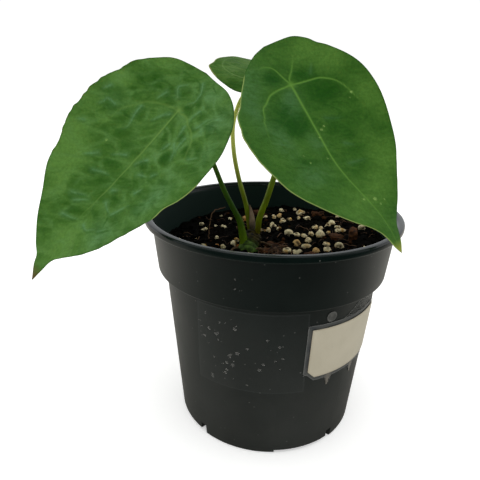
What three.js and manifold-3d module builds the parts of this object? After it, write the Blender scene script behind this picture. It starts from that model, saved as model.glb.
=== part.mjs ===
// A young anthurium in a round nursery pot: three peltate leaves on their
// petioles, a short crown with its roots, the soil with its grains, and the pot
// with a blank plant label. Millimetres, +Z up, origin at the middle of the pot's
// underside. The photograph's side of the pot is -Y.
import * as THREE from "three";
import { mergeVertices } from "three/addons/utils/BufferGeometryUtils.js";
import Module from "manifold-3d";

// Pot: heights and outer radii, from the foot up.
const POT = {
  height: 113.3,
  rimRadius: 65,
  rimInner: 61.6,
  lipHeight: 3.3,
  stepHeight: 85.2,
  footRadius: 47.8,
  bodyTopRadius: 55.1,
  collarFootRadius: 58.9,
  collarTopRadius: 61.4,
  wall: 1.5,
  floorThickness: 2,
  footRound: 0.8,
  stepRound: 0.6,
  lipRound: 0.6,
  sides: 48,
};

// Underside of the pot: feet on the rim of the base between raised arcs, each arc from
// and to an angle, with a slot through the floor near both its ends and a notch in the
// wall at its end.
const UNDERSIDE = {
  arcs: [[-172, -128], [-83, -43], [6, 50], [96, 140]],
  raise: 2,
  innerRadius: 37,
  slotInner: 41,
  slotOuter: 45.6,
  slotDegrees: 7,
  slotMargin: 1.5,
  notchDegrees: 4.4,
  notchHeight: 5.8,
  notchDepth: 3,
};

// Soil: its mean level on the pot's axis, its slopes, and how rough it is.
const SOIL = {
  level: 96.5,
  slopeX: 0.045,
  slopeY: 0.03,
  rough: 0.7,
  clearance: 0.3,
  rings: 8,
};

// Grains seen on the soil: x, y and radius. The rest are strewn by a seeded draw.
const WHITE_GRAINS = [
  [17, 43, 2.4], [10, 33, 1.5], [6, 28, 1.7], [4, 16, 1.5], [20, 33, 2], [24, 18, 1.7],
  [34, 24, 2], [31, 20, 1.5], [9, 7, 1.8], [13, 6, 1.6], [21, 6, 1.5], [26, 5, 2.3],
  [17, 2, 1.4], [19, -3, 1.7], [18, -9, 1.8], [8, -15, 2], [13, -18, 2], [28, -6, 1.7],
  [28, -14, 1.8], [34, -10, 1.8], [38, 11, 1.6], [36, 13, 1.4], [-38, 14, 1.9],
  [-32, 21, 1], [-29, 1, 1.3], [-24, -11, 1.4], [-19, -8, 1.6], [-18, -1, 1.3],
  [-5, 14, 1.4], [-2, 13, 1.4], [1, 33, 1.4], [0, 24, 1.3], [1, 19, 1.5], [27, 15, 1.5],
];
const TAN_GRAINS = [
  [4, 36, 1.8], [13, -6, 2], [22, -15, 1.8], [-28, -8, 1.5], [-16, -10, 1.6], [-16, 31, 1.8],
];
// Bark chips: x, y, half length, half width, turn in degrees, and how far they stand up.
const BARK_CHIPS = [
  [34, 3, 4, 2.6, 25, 1.6], [43, 5, 6, 2.2, 80, 4.2], [27, 40, 3.6, 2, 10, 1.8],
  [2, -9, 5, 2.4, -20, 1.6], [-1, -16, 4, 2.6, 15, 1.2], [19, -21, 3.4, 2, 40, 1.2],
  [-40, -12, 4, 2.2, 60, 1.2], [-8, 42, 5, 2.6, -35, 1.4], [10, -36, 4.4, 2.4, 5, 1.4],
];
const STREWN = { count: 28, seed: 7, least: 1, most: 1.9, reach: 54, apart: 4.6, tries: 4000 };
const GRAIN_LIFT = 0.35;
const CHIP = { depth: 3, tilt: 0.12 };

// A dry rootlet that arches out of the soil towards the left petiole.
const ROOTLET = {
  radius: 0.45,
  path: [
    [-33.4, -0.4, 92], [-33.2, -0.2, 96.6], [-32.9, 0.4, 102], [-32, 1, 107.6], [-30.6, 1.8, 110.6],
    [-27.4, 2.6, 111.8], [-24.6, 3, 112.6],
  ],
};

// Crown: the short stem, half sunk in the soil, as places and radii along it.
const CROWN = [
  [-11, -10.5, 84, 3.4], [-11.4, -12, 90, 5], [-11.6, -12, 94.5, 5.3],
  [-10.6, -8.6, 97.4, 4.8], [-9.6, -4.4, 99.4, 4.3], [-9.2, -1.2, 100.6, 3.4],
];
// Roots that show above the soil, each along its places, and their radius.
const ROOT_RADIUS = 0.55;
const ROOTS = [
  [[-11, -13, 94], [-6.4, -15, 97.2], [-3.4, -17.2, 97.4], [-3, -19.6, 96.2], [-3.4, -21, 93.6]],
  [[-10, -9, 95], [-5.4, -9.4, 98.4], [-1.6, -10.4, 98], [1.8, -10.2, 96.6], [4, -9.4, 93.4]],
  [[-12, -11, 94], [-17.4, -14, 96.6], [-19.6, -16.6, 95.8], [-21, -19, 92.6]],
];

// Leaves. place: the petiole's top on the upper face. facing and rise: where the
// blade's normal points, in degrees from -Y and from level. turn: the midrib's turn
// in the blade's plane from straight down it. droop, cup and twist: curvatures per mm.
// midrib and both edges: distance along the midrib from the petiole, then across it.
const LEAVES = {
  leaf_left: {
    place: [-46.2, -7.6, 162.4],
    facing: -10.3, rise: 37, turn: -29.6,
    droop: -0.0006, cup: -0.0139, twist: 0.0011,
    quilt: 0.7, wave: 0.35,
    midrib: [
      [-22.5, -1.3], [-11, -0.4], [0, 0], [30, 0.2], [53, -0.4], [75, -2.2], [90, -1.6],
      [101, 2.6],
    ],
    nearEdge: [
      [-22.5, -1.3], [-21.2, 5.3], [-19.5, 14.5], [-15.2, 22.2], [-9.6, 28], [-2.5, 33.4],
      [7, 37.6], [15, 39.1], [22, 39.7], [28, 39.6], [36, 37.1], [42, 33.9], [48, 32.6],
      [56, 28], [64, 24.2], [72, 19.4], [80, 12.9], [86, 6.8], [90, 3.4], [96, 2.9], [101, 2.6],
    ],
    farEdge: [
      [-22.5, -1.3], [-21.8, -10.5], [-20, -18.5], [-16, -24.3], [-8, -31], [0, -34.2],
      [9, -37.7], [20, -39], [32, -38.7], [44, -35.1], [56, -32], [68, -25.7], [80, -17.5],
      [88, -10.5], [92, -5.3], [96, -2.5], [101, 2.6],
    ],
  },
  leaf_right: {
    place: [5.8, -11.5, 174.7],
    facing: 13.1, rise: 34.9, turn: 26.8,
    droop: -0.0013, cup: -0.0125, twist: -0.0038,
    quilt: 0.2, wave: 0.15,
    midrib: [
      [-22, -1.1], [-11, -0.4], [0, 0], [24, -2.2], [38, -3.8], [49, -3.5], [67, -0.8],
      [78, -1.2], [87.6, -3.7],
    ],
    nearEdge: [
      [-22, -1.1], [-21.4, 6.5], [-20, 12.7], [-16, 17.7], [-12, 20.6], [-8, 24.2], [0, 29.1], [8, 32.3],
      [16, 33.3], [26, 32.5], [36, 30.1], [48, 25.4], [60, 17.7], [68, 11.6], [76, 4.3],
      [80, 1.9], [84, -0.4], [87.6, -3.7],
    ],
    farEdge: [
      [-22, -1.1], [-20, -7.4], [-16, -13.4], [-12, -17.7], [-4, -24.4], [2, -29], [6, -32.8],
      [12, -35.2], [18, -37.2], [30, -37.3], [40, -35.3], [46, -33.2], [53, -28.4], [61, -21.4],
      [68, -14.4], [72, -9.9], [76, -6.8], [80, -5.4], [84, -4.9], [87.6, -3.7],
    ],
  },
  leaf_back: {
    place: [-14.6, 33.4, 176.3],
    facing: 2.6, rise: 69.6, turn: 174,
    droop: 0.007, cup: -0.006, twist: 0.003,
    quilt: 0.15, wave: 0.2,
    midrib: [[-17.5, 0], [-8, 0], [0, 0], [16, 0.6], [34, 0.8], [50, 0.2], [64, -1]],
    nearEdge: [
      [-17.5, 0], [-15, 6], [-12.1, 9.6], [-8.1, 13.4], [-4.1, 17.3], [0.6, 20.9], [4.8, 23.1],
      [10.5, 25.1], [16.8, 23.6], [21.7, 23.1], [32, 20.6], [43, 15.5], [51, 9.6], [58, 4], [64, -1],
    ],
    farEdge: [
      [-17.5, 0], [-15, -7.4], [-12, -11.6], [-6, -17], [1, -21.6], [8, -24.8], [16, -26.2],
      [25, -25.2], [34, -21.8], [43, -16], [50, -10.6], [56, -6], [60, -3.4], [64, -1],
    ],
  },
};
// ribFrom and ribFades: where the rib below starts behind the petiole, and the lengths
// over which it comes up there and sinks towards the tip.
const BLADE = { thickness: 0.85, rib: 0.9, ribFrom: -12, ribFades: [8, 60], rows: 28, columns: 6 };
// Bumps between the side veins and waves at the edge, and how far from the tip they end.
const QUILT = { along: 15, across: 12, slant: 0.55, wave: 21, fade: 25 };

// Petioles, from the crown to the leaf: places, radius at the foot and at the top.
const PETIOLES = {
  petiole_left: {
    leaf: "leaf_left",
    foot: 2.1, waist: 1.4, top: 0.95, head: 1.35, waistAt: 0.3,
    path: [
      [-13, -12.2, 94.6], [-13.9, -11.4, 100], [-14.9, -10.6, 105], [-16.3, -9.7, 109.9],
      [-19.1, -8.8, 114.8], [-24.4, -7, 124.3], [-29.6, -4.8, 136], [-33.6, -3.2, 144.4],
      [-38.8, -1.2, 152.4],
    ],
  },
  petiole_right: {
    leaf: "leaf_right",
    foot: 1.4, waist: 1.6, top: 1.15, head: 1.45, waistAt: 0.2,
    path: [
      [-8.2, -4.6, 98.4], [-7, -5, 104.5], [-6.7, -4.9, 108.8], [-5.2, -4.8, 114.2],
      [-3.3, -4.7, 119.4], [-0.3, -4.6, 130.2], [2.9, -4.4, 142], [5.2, -3.8, 154],
      [5.2, -3.2, 163],
    ],
  },
  petiole_back: {
    leaf: "leaf_back",
    foot: 1.5, waist: 1.3, top: 1.1, head: 1.3, waistAt: 0.25,
    path: [
      [-10.6, -1.6, 98.6], [-11.4, 0, 103.2], [-12.2, 1.7, 106.5], [-13.3, 4.1, 111.2],
      [-14.8, 6.6, 115.9], [-18.4, 11.6, 125.4], [-21.4, 16.8, 136], [-22.9, 21.4, 145],
      [-23.2, 24.8, 152], [-22, 28.4, 159], [-19, 31.6, 166.4],
    ],
  },
};
// headFrom: the share of a petiole where it swells to its head. neck: how far below
// the blade it turns square to it.
const PETIOLE = { sides: 8, steps: 22, headFrom: 0.93, neck: 7 };
const SOCKET_GAP = 0.3;
const JOINT_GAP = 0.3;

// Papery sheath that stands at the foot of the back petiole, on its right.
const SHEATH = {
  from: 0.015, to: 0.19, steps: 8,
  foot: 2.2, belly: 0.8, top: 1.6, thickness: 0.6, facing: -20, span: 150, taper: 0.8,
};

// Label, its clear film and the round sticker: angles in degrees, heights up the pot.
const LABEL = { from: -68.5, to: -17, low: 46.8, high: 73.6, thickness: 0.5, corner: 4, cut: 3.6 };
// The film's upper edge climbs to top past the angle climb, over the angle climbOver.
// Its lower edge hangs in drips, so many degrees apart.
const FILM = {
  thickness: 0.25, margin: 2.2, side: 2.2, until: -10,
  top: 82, climb: -52, climbOver: 14,
  drip: 5.2, dripFrom: -60, dripApart: 19, dripPower: 6,
};
const STICKER = { middle: -58.9, height: 78.9, radius: 2.6, thickness: 0.3, gap: 0.18, sides: 16 };

const WALL_GAP = 0.1;
const FILM_STEP = 2.5;
const COLOURS = {
  pot: 0x1c2021, soil: 0x17120e, leaf: 0x3c7a2c, backLeaf: 0x3d6b3c, petioleDark: 0x2e5a1c,
  petioleOlive: 0x6f7a2e, crown: 0x6b7a35, sheath: 0xa98f63, paper: 0xe6e1d0,
  film: 0x8d9290, sticker: 0x6d7274,
};
const DEG = Math.PI / 180;

const wasm = await Module();
wasm.setup();

// Places and directions

const vec = (p) => new THREE.Vector3(p[0], p[1], p[2]);
const polar = (radius, degrees, z) =>
  new THREE.Vector3(radius * Math.cos(degrees * DEG), radius * Math.sin(degrees * DEG), z);
const route = (places) => new THREE.CatmullRomCurve3(places.map(vec), false, "catmullrom", 0.5);
const mix = (a, b, share) => a + (b - a) * share;
const smooth = (share) => {
  const t = Math.min(1, Math.max(0, share));
  return t * t * (3 - 2 * t);
};

// A seeded draw: the same numbers each run.
function seededDraw(seed) {
  let state = seed >>> 0;
  return () => {
    state = (Math.imul(state, 1664525) + 1013904223) >>> 0;
    return state / 4294967296;
  };
}

// Meshes: from triangles to a closed geometry, and to a solid for joining and cutting

function closedGeometry(triangles) {
  const raw = new THREE.BufferGeometry();
  raw.setAttribute("position", new THREE.Float32BufferAttribute(triangles.flat(2), 3));
  const merged = mergeVertices(raw, 1e-4);
  const index = merged.index.array;
  const kept = [];
  for (let i = 0; i < index.length; i += 3) {
    const [a, b, c] = [index[i], index[i + 1], index[i + 2]];
    if (a !== b && b !== c && c !== a) kept.push(a, b, c);
  }
  merged.setIndex(kept);
  return merged;
}

function solidOf(geometry) {
  const make = (triVerts) =>
    new wasm.Manifold(
      new wasm.Mesh({
        numProp: 3,
        vertProperties: new Float32Array(geometry.attributes.position.array),
        triVerts,
      }),
    );
  const triVerts = new Uint32Array(geometry.index.array);
  const solid = make(triVerts);
  if (solid.volume() > 0) return solid;
  for (let i = 0; i < triVerts.length; i += 3)
    [triVerts[i + 1], triVerts[i + 2]] = [triVerts[i + 2], triVerts[i + 1]];
  return make(triVerts);
}

function geometryOf(solid) {
  const body = solid.decompose().sort((a, b) => b.volume() - a.volume())[0];
  const mesh = body.getMesh();
  const places = [];
  for (let i = 0; i < mesh.numVert; i++)
    places.push(...mesh.vertProperties.subarray(i * mesh.numProp, i * mesh.numProp + 3));
  const geometry = new THREE.BufferGeometry();
  geometry.setAttribute("position", new THREE.Float32BufferAttribute(places, 3));
  geometry.setIndex([...mesh.triVerts]);
  geometry.computeVertexNormals();
  return geometry;
}

// A solid between two sheets of points with the same rows and columns.
function slab(front, back) {
  const triangles = [];
  const quad = (a, b, c, d) => triangles.push([a, b, c], [a, c, d]);
  const rows = front.length - 1;
  const columns = front[0].length - 1;
  for (let i = 0; i < rows; i++)
    for (let j = 0; j < columns; j++) {
      quad(front[i][j], front[i + 1][j], front[i + 1][j + 1], front[i][j + 1]);
      triangles.push([back[i][j], back[i + 1][j + 1], back[i + 1][j]]);
      triangles.push([back[i][j], back[i][j + 1], back[i + 1][j + 1]]);
    }
  for (let i = 0; i < rows; i++) {
    quad(front[i + 1][0], front[i][0], back[i][0], back[i + 1][0]);
    quad(front[i][columns], front[i + 1][columns], back[i + 1][columns], back[i][columns]);
  }
  for (let j = 0; j < columns; j++) {
    quad(front[0][j], front[0][j + 1], back[0][j + 1], back[0][j]);
    quad(front[rows][j + 1], front[rows][j], back[rows][j], back[rows][j + 1]);
  }
  return solidOf(closedGeometry(triangles.map((t) => t.map((p) => p.toArray()))));
}

// A closed solid through rings of points, with a fan over each end.
function skin(rings, first, last) {
  const triangles = [];
  const sides = rings[0].length;
  rings.slice(1).forEach((ring, i) => {
    for (let k = 0; k < sides; k++) {
      const next = (k + 1) % sides;
      triangles.push([rings[i][k], rings[i][next], ring[next]], [rings[i][k], ring[next], ring[k]]);
    }
  });
  for (let k = 0; k < sides; k++) {
    const next = (k + 1) % sides;
    triangles.push([first, rings[0][next], rings[0][k]]);
    triangles.push([last, rings.at(-1)[k], rings.at(-1)[next]]);
  }
  return solidOf(closedGeometry(triangles.map((t) => t.map((p) => p.toArray()))));
}

// A round stem along a curve, its radius given for each share of its length. With
// grow, it is that much larger all round and at both ends.
function stem(curve, radiusAt, sides, steps, grow = 0) {
  const frames = curve.computeFrenetFrames(steps, false);
  const rings = [];
  const end = (share) =>
    curve.getPointAt(share).addScaledVector(curve.getTangentAt(share), share < 0.5 ? -grow : grow);
  for (let i = 0; i <= steps; i++) {
    const middle = i === 0 || i === steps ? end(i / steps) : curve.getPointAt(i / steps);
    const radius = radiusAt(i / steps) + grow;
    rings.push(
      Array.from({ length: sides }, (_, k) => {
        const turn = (2 * Math.PI * k) / sides;
        return middle
          .clone()
          .addScaledVector(frames.normals[i], radius * Math.cos(turn))
          .addScaledVector(frames.binormals[i], radius * Math.sin(turn));
      }),
    );
  }
  return skin(rings, end(0), end(1));
}

const joined = (solids) => solids.reduce((all, one) => all.add(one));

// Pot

const outerRadius = (z) =>
  z < POT.stepHeight
    ? mix(POT.footRadius, POT.bodyTopRadius, z / POT.stepHeight)
    : mix(
        POT.collarFootRadius,
        POT.collarTopRadius,
        (z - POT.stepHeight) / (POT.height - POT.lipHeight - POT.stepHeight),
      );
const floorTop = UNDERSIDE.raise + POT.floorThickness;
const shelfTop = POT.stepHeight + POT.wall;

function sectorPrism(inner, outer, low, high, middle, width) {
  const half = width / 2;
  const steps = Math.max(1, Math.round(width / (360 / POT.sides)));
  const sheet = (radius) =>
    Array.from({ length: steps + 1 }, (_, k) => {
      const angle = mix(middle - half, middle + half, k / steps);
      return [polar(radius, angle, low), polar(radius, angle, high)];
    });
  return slab(sheet(outer), sheet(inner));
}

function potSolid() {
  const lipFoot = POT.height - POT.lipHeight;
  const collarInner = POT.collarTopRadius - POT.wall;
  const collarFootInner = POT.collarFootRadius - POT.wall;
  const { footRound, stepRound, lipRound } = POT;
  const profile = [
    [0, 0],
    [POT.footRadius - footRound, 0],
    [POT.footRadius, footRound],
    [POT.bodyTopRadius, POT.stepHeight - stepRound],
    [POT.bodyTopRadius + stepRound, POT.stepHeight],
    [POT.collarFootRadius - stepRound, POT.stepHeight],
    [POT.collarFootRadius, POT.stepHeight + stepRound],
    [POT.collarTopRadius, lipFoot],
    [POT.rimRadius - lipRound, lipFoot],
    [POT.rimRadius, lipFoot + lipRound],
    [POT.rimRadius, POT.height - lipRound],
    [POT.rimRadius - lipRound, POT.height],
    [POT.rimInner + lipRound, POT.height],
    [POT.rimInner - lipRound / 2, POT.height - lipRound],
    [collarInner + lipRound / 2, lipFoot + 2 * lipRound],
    [collarInner, lipFoot - 2 * lipRound],
    [collarFootInner, shelfTop + stepRound / 2],
    [collarFootInner - stepRound / 2, shelfTop],
    [POT.bodyTopRadius - POT.wall, shelfTop - stepRound / 2],
    [outerRadius(floorTop) - POT.wall, floorTop],
    [0, floorTop],
  ];
  const lathe = new THREE.LatheGeometry(profile.map((p) => new THREE.Vector2(...p)), POT.sides);
  lathe.rotateX(Math.PI / 2);
  lathe.deleteAttribute("normal");
  lathe.deleteAttribute("uv");
  let pot = solidOf(closedGeometry(trianglesOf(lathe)));
  const { innerRadius, raise, slotInner, slotOuter, slotDegrees, slotMargin } = UNDERSIDE;
  const { notchDegrees, notchHeight, notchDepth } = UNDERSIDE;
  for (const [from, to] of UNDERSIDE.arcs) {
    const slots = [from, to].map((end, k) => end + (1 - 2 * k) * (slotMargin + slotDegrees / 2));
    const wide = [innerRadius, POT.rimRadius, -1, raise];
    const cuts = [
      sectorPrism(...wide, (from + to) / 2, to - from),
      ...slots.map((at) => sectorPrism(slotInner, slotOuter, 0, floorTop + 1, at, slotDegrees)),
      sectorPrism(
        POT.footRadius - notchDepth,
        POT.rimRadius,
        0,
        notchHeight,
        to - notchDegrees / 2,
        notchDegrees,
      ),
    ];
    pot = cuts.reduce((rest, cut) => rest.subtract(cut), pot);
  }
  return pot;
}

function trianglesOf(geometry) {
  const { position } = geometry.attributes;
  const corner = (i) => [position.getX(i), position.getY(i), position.getZ(i)];
  const index = geometry.index ? [...geometry.index.array] : [...Array(position.count).keys()];
  const triangles = [];
  for (let i = 0; i < index.length; i += 3)
    triangles.push([corner(index[i]), corner(index[i + 1]), corner(index[i + 2])]);
  return triangles;
}

// The flat facets of the pot's wall: how far out the wall is at an angle.
function facetRadius(degrees, z) {
  const step = 360 / POT.sides;
  const within = (((degrees % step) + step) % step) - step / 2;
  return (outerRadius(z) * Math.cos((step / 2) * DEG)) / Math.cos(within * DEG);
}

// Soil with its grains, chips and the dry rootlet

const soilHeight = (x, y) =>
  SOIL.level +
  SOIL.slopeX * x +
  SOIL.slopeY * y +
  SOIL.rough *
    (Math.sin(x * 0.42 + 1.3) * Math.cos(y * 0.37) + 0.6 * Math.sin(x * 0.9 - y * 0.75));

function grainSolid(x, y, radius, draw) {
  const ball = new THREE.IcosahedronGeometry(radius, 0);
  ball.deleteAttribute("normal");
  ball.deleteAttribute("uv");
  const stretch = [1 + 0.3 * draw(), 0.85 + 0.3 * draw(), 0.75 + 0.3 * draw()];
  ball.scale(...stretch);
  ball.rotateZ(draw() * Math.PI);
  ball.rotateX(draw() * Math.PI);
  ball.translate(x, y, soilHeight(x, y) + radius * GRAIN_LIFT);
  return solidOf(closedGeometry(trianglesOf(ball)));
}

function chipSolid([x, y, halfLength, halfWidth, turn, stand]) {
  const chip = new THREE.BoxGeometry(2 * halfLength, 2 * halfWidth, stand + CHIP.depth);
  chip.deleteAttribute("normal");
  chip.deleteAttribute("uv");
  chip.translate(0, 0, (stand - CHIP.depth) / 2);
  chip.rotateY(CHIP.tilt);
  chip.rotateZ(turn * DEG);
  chip.translate(x, y, soilHeight(x, y));
  return solidOf(closedGeometry(trianglesOf(chip)));
}

// Places for the grains that the photograph doesn't single out, apart from the others.
function strewnGrains(draw) {
  const taken = [...WHITE_GRAINS, ...TAN_GRAINS, ...BARK_CHIPS, ...CROWN, ...ROOTS.flat()];
  const grains = [];
  for (let tries = 0; grains.length < STREWN.count && tries < STREWN.tries; tries++) {
    const radius = STREWN.reach * Math.sqrt(draw());
    const angle = 2 * Math.PI * draw();
    const size = mix(STREWN.least, STREWN.most, draw() ** 2);
    const [x, y] = [radius * Math.cos(angle), radius * Math.sin(angle)];
    if (taken.some(([a, b]) => Math.hypot(a - x, b - y) < STREWN.apart)) continue;
    taken.push([x, y]);
    grains.push([x, y, size]);
  }
  return grains;
}

function soilSolid() {
  const gap = SOIL.clearance;
  const ring = (radius, z) =>
    Array.from({ length: POT.sides }, (_, k) => polar(radius, (360 / POT.sides) * k, z));
  const bodyWall = (z) => outerRadius(z) - POT.wall - gap;
  const edge = outerRadius(SOIL.level) - POT.wall - gap - 0.2;
  const rings = [
    ring(bodyWall(floorTop + gap) - 0.2, floorTop + gap),
    ring(POT.bodyTopRadius - POT.wall - gap - 0.1, shelfTop + gap),
    ring(POT.collarFootRadius - POT.wall - gap - 0.6, shelfTop + gap + 0.1),
  ];
  for (let i = SOIL.rings; i > 0; i--) {
    const radius = (edge * i) / SOIL.rings;
    rings.push(ring(radius, 0).map((p) => p.setZ(soilHeight(p.x, p.y))));
  }
  const body = skin(
    rings,
    new THREE.Vector3(0, 0, floorTop + gap),
    new THREE.Vector3(0, 0, soilHeight(0, 0)),
  );
  const draw = seededDraw(STREWN.seed);
  const strewn = strewnGrains(draw);
  const grains = [...WHITE_GRAINS, ...TAN_GRAINS, ...strewn].map(([x, y, radius]) =>
    grainSolid(x, y, radius, draw),
  );
  const rootlet = stem(route(ROOTLET.path), () => ROOTLET.radius, 5, 14);
  return joined([body, ...grains, ...BARK_CHIPS.map(chipSolid), rootlet]).subtract(
    crownSolid(SOIL.clearance),
  );
}

// Crown and its roots

function crownSolid(grow) {
  const knobs = CROWN.map(([x, y, z, radius]) => {
    const knob = new THREE.IcosahedronGeometry(radius + grow, 1);
    knob.deleteAttribute("normal");
    knob.deleteAttribute("uv");
    knob.translate(x, y, z);
    return solidOf(closedGeometry(trianglesOf(knob)));
  });
  const roots = ROOTS.map((places) => stem(route(places), () => ROOT_RADIUS, 5, 9, grow));
  return joined([...knobs, ...roots]);
}

// Leaves

function leafAxes(leaf) {
  const [facing, rise, turn] = [leaf.facing * DEG, leaf.rise * DEG, leaf.turn * DEG];
  const normal = new THREE.Vector3(
    Math.sin(facing) * Math.cos(rise),
    -Math.cos(facing) * Math.cos(rise),
    Math.sin(rise),
  );
  const down = new THREE.Vector3(
    Math.sin(facing) * Math.sin(rise),
    -Math.cos(facing) * Math.sin(rise),
    -Math.cos(rise),
  );
  const side = new THREE.Vector3().crossVectors(normal, down);
  const along = down.multiplyScalar(Math.cos(turn)).addScaledVector(side, Math.sin(turn));
  return { normal, along, across: new THREE.Vector3().crossVectors(normal, along) };
}

function leafPoint(leaf, axes, s, w, edge, lift) {
  const bend = -0.5 * leaf.droop * s * s - 0.5 * leaf.cup * w * w + leaf.twist * s * w;
  const quilt =
    Math.sin((2 * Math.PI * (s - QUILT.slant * Math.abs(w))) / QUILT.along) *
    Math.sin((2 * Math.PI * Math.abs(w)) / QUILT.across);
  const wave = Math.sin((2 * Math.PI * s) / QUILT.wave + (w > 0 ? 1 : 3)) * edge ** 3;
  const relief = leaf.quilt * quilt * (1 - edge ** 4) + leaf.wave * wave;
  const calm = smooth((leaf.midrib.at(-1)[0] - s) / QUILT.fade);
  return vec(leaf.place)
    .addScaledVector(axes.along, s)
    .addScaledVector(axes.across, w)
    .addScaledVector(axes.normal, bend + relief * calm + lift);
}

function leafSolid(leaf) {
  const axes = leafAxes(leaf);
  const planar = (places) => route(places.map(([s, w]) => [s, w, 0]));
  const middle = planar(leaf.midrib);
  const sides = { near: planar(leaf.nearEdge), far: planar(leaf.farEdge) };
  const { rows, columns } = BLADE;
  const front = [];
  const back = [];
  for (let i = 0; i <= rows; i++) {
    const share = i / rows;
    const rib = middle.getPointAt(share);
    const toTip = leaf.midrib.at(-1)[0] - rib.x;
    const [rise, sink] = BLADE.ribFades;
    const reach = smooth(toTip / sink) * smooth((rib.x - BLADE.ribFrom) / rise);
    const rowFront = [];
    const rowBack = [];
    for (let j = -columns; j <= columns; j++) {
      const edge = Math.abs(j) / columns;
      const outer = (j < 0 ? sides.far : sides.near).getPointAt(share);
      const place = rib.clone().lerp(outer, edge);
      const depth = BLADE.thickness + (j === 0 ? BLADE.rib * reach : 0);
      rowFront.push(leafPoint(leaf, axes, place.x, place.y, edge, 0));
      rowBack.push(leafPoint(leaf, axes, place.x, place.y, edge, -depth));
    }
    front.push(rowFront);
    back.push(rowBack);
  }
  return slab(front, back);
}

// Petioles

function petioleRoute(petiole) {
  const leaf = LEAVES[petiole.leaf];
  const { normal } = leafAxes(leaf);
  const under = BLADE.thickness + BLADE.rib + JOINT_GAP;
  const below = (depth) => vec(leaf.place).addScaledVector(normal, -depth).toArray();
  return route([...petiole.path, below(PETIOLE.neck), below(under)]);
}

function petioleSolid(petiole) {
  const { foot, waist, top, head, waistAt } = petiole;
  const radiusAt = (share) => {
    if (share < waistAt) return mix(foot, waist, smooth(share / waistAt));
    const from = PETIOLE.headFrom;
    if (share < from) return mix(waist, top, (share - waistAt) / (from - waistAt));
    return mix(top, head, smooth((share - from) / (1 - from)));
  };
  const whole = stem(petioleRoute(petiole), radiusAt, PETIOLE.sides, PETIOLE.steps);
  return whole.subtract(crownSolid(SOCKET_GAP));
}

// Sheath: a papery gutter round the foot of the back petiole

function sheathSolid() {
  const curve = petioleRoute(PETIOLES.petiole_back);
  const { steps, span } = SHEATH;
  const front = [];
  const back = [];
  for (let i = 0; i <= steps; i++) {
    const share = i / steps;
    const middle = curve.getPointAt(mix(SHEATH.from, SHEATH.to, share));
    const radius = mix(SHEATH.foot, SHEATH.top, share) + SHEATH.belly * Math.sin(Math.PI * share);
    const half = (span / 2) * (1 - SHEATH.taper * share * share);
    const arc = (distance) =>
      [-1, -0.5, 0, 0.5, 1].map((k) =>
        middle.clone().add(polar(distance, SHEATH.facing + k * half, 0)),
      );
    front.push(arc(radius + SHEATH.thickness));
    back.push(arc(radius));
  }
  return slab(front, back).subtract(crownSolid(SOCKET_GAP));
}

// Label, film and sticker: thin sheets on the facets of the pot's wall

function wallSheet(columns, thickness, offset) {
  const sheet = (out) =>
    columns.map(({ angle, low, high }) =>
      [low, high].map((z) => polar(facetRadius(angle, z) + offset + out, angle, z)),
    );
  return slab(sheet(thickness), sheet(0));
}

function sheetColumns(from, to, step, edges) {
  const angles = [from];
  for (let a = Math.ceil((from + 0.4) / step) * step; a < to - 0.4; a += step) angles.push(a);
  angles.push(to);
  return angles.map((angle) => ({ angle, ...edges(angle) }));
}

function labelSolid() {
  const { from, to, low, high, corner, cut } = LABEL;
  const edges = (angle) => ({
    low: low + cut * Math.max(0, 1 - (angle - from) / corner),
    high,
  });
  const columns = sheetColumns(from, to, 360 / POT.sides, edges);
  columns.splice(1, 0, { angle: from + corner, ...edges(from + corner) });
  columns.sort((a, b) => a.angle - b.angle);
  return wallSheet(columns, LABEL.thickness, WALL_GAP + FILM.thickness + WALL_GAP);
}

function filmSolid() {
  const edges = (angle) => {
    const swing = Math.sin((2 * Math.PI * (angle - FILM.dripFrom)) / FILM.dripApart);
    return {
      low: LABEL.low - FILM.margin - FILM.drip * Math.max(0, swing) ** FILM.dripPower,
      high: mix(LABEL.high + FILM.margin, FILM.top, smooth((angle - FILM.climb) / FILM.climbOver)),
    };
  };
  const columns = sheetColumns(LABEL.from - FILM.side, FILM.until, FILM_STEP, edges);
  return wallSheet(columns, FILM.thickness, WALL_GAP);
}

function stickerSolid() {
  const { sides } = STICKER;
  const sheet = (out) =>
    [0, 1].map((share) =>
      Array.from({ length: sides + 1 }, (_, k) => {
        const turn = (2 * Math.PI * k) / sides;
        const z = STICKER.height + share * STICKER.radius * Math.sin(turn);
        const sideways = share * STICKER.radius * Math.cos(turn);
        const angle = STICKER.middle + sideways / outerRadius(z) / DEG;
        return polar(facetRadius(angle, z) + STICKER.gap + out, angle, z);
      }),
    );
  return slab(sheet(STICKER.thickness), sheet(0));
}

// The object

const group = new THREE.Group();

function addPiece(name, solid, colour, roughness) {
  const material = new THREE.MeshStandardMaterial({ color: colour, roughness, metalness: 0 });
  const mesh = new THREE.Mesh(geometryOf(solid), material);
  mesh.name = name;
  group.add(mesh);
}

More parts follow.
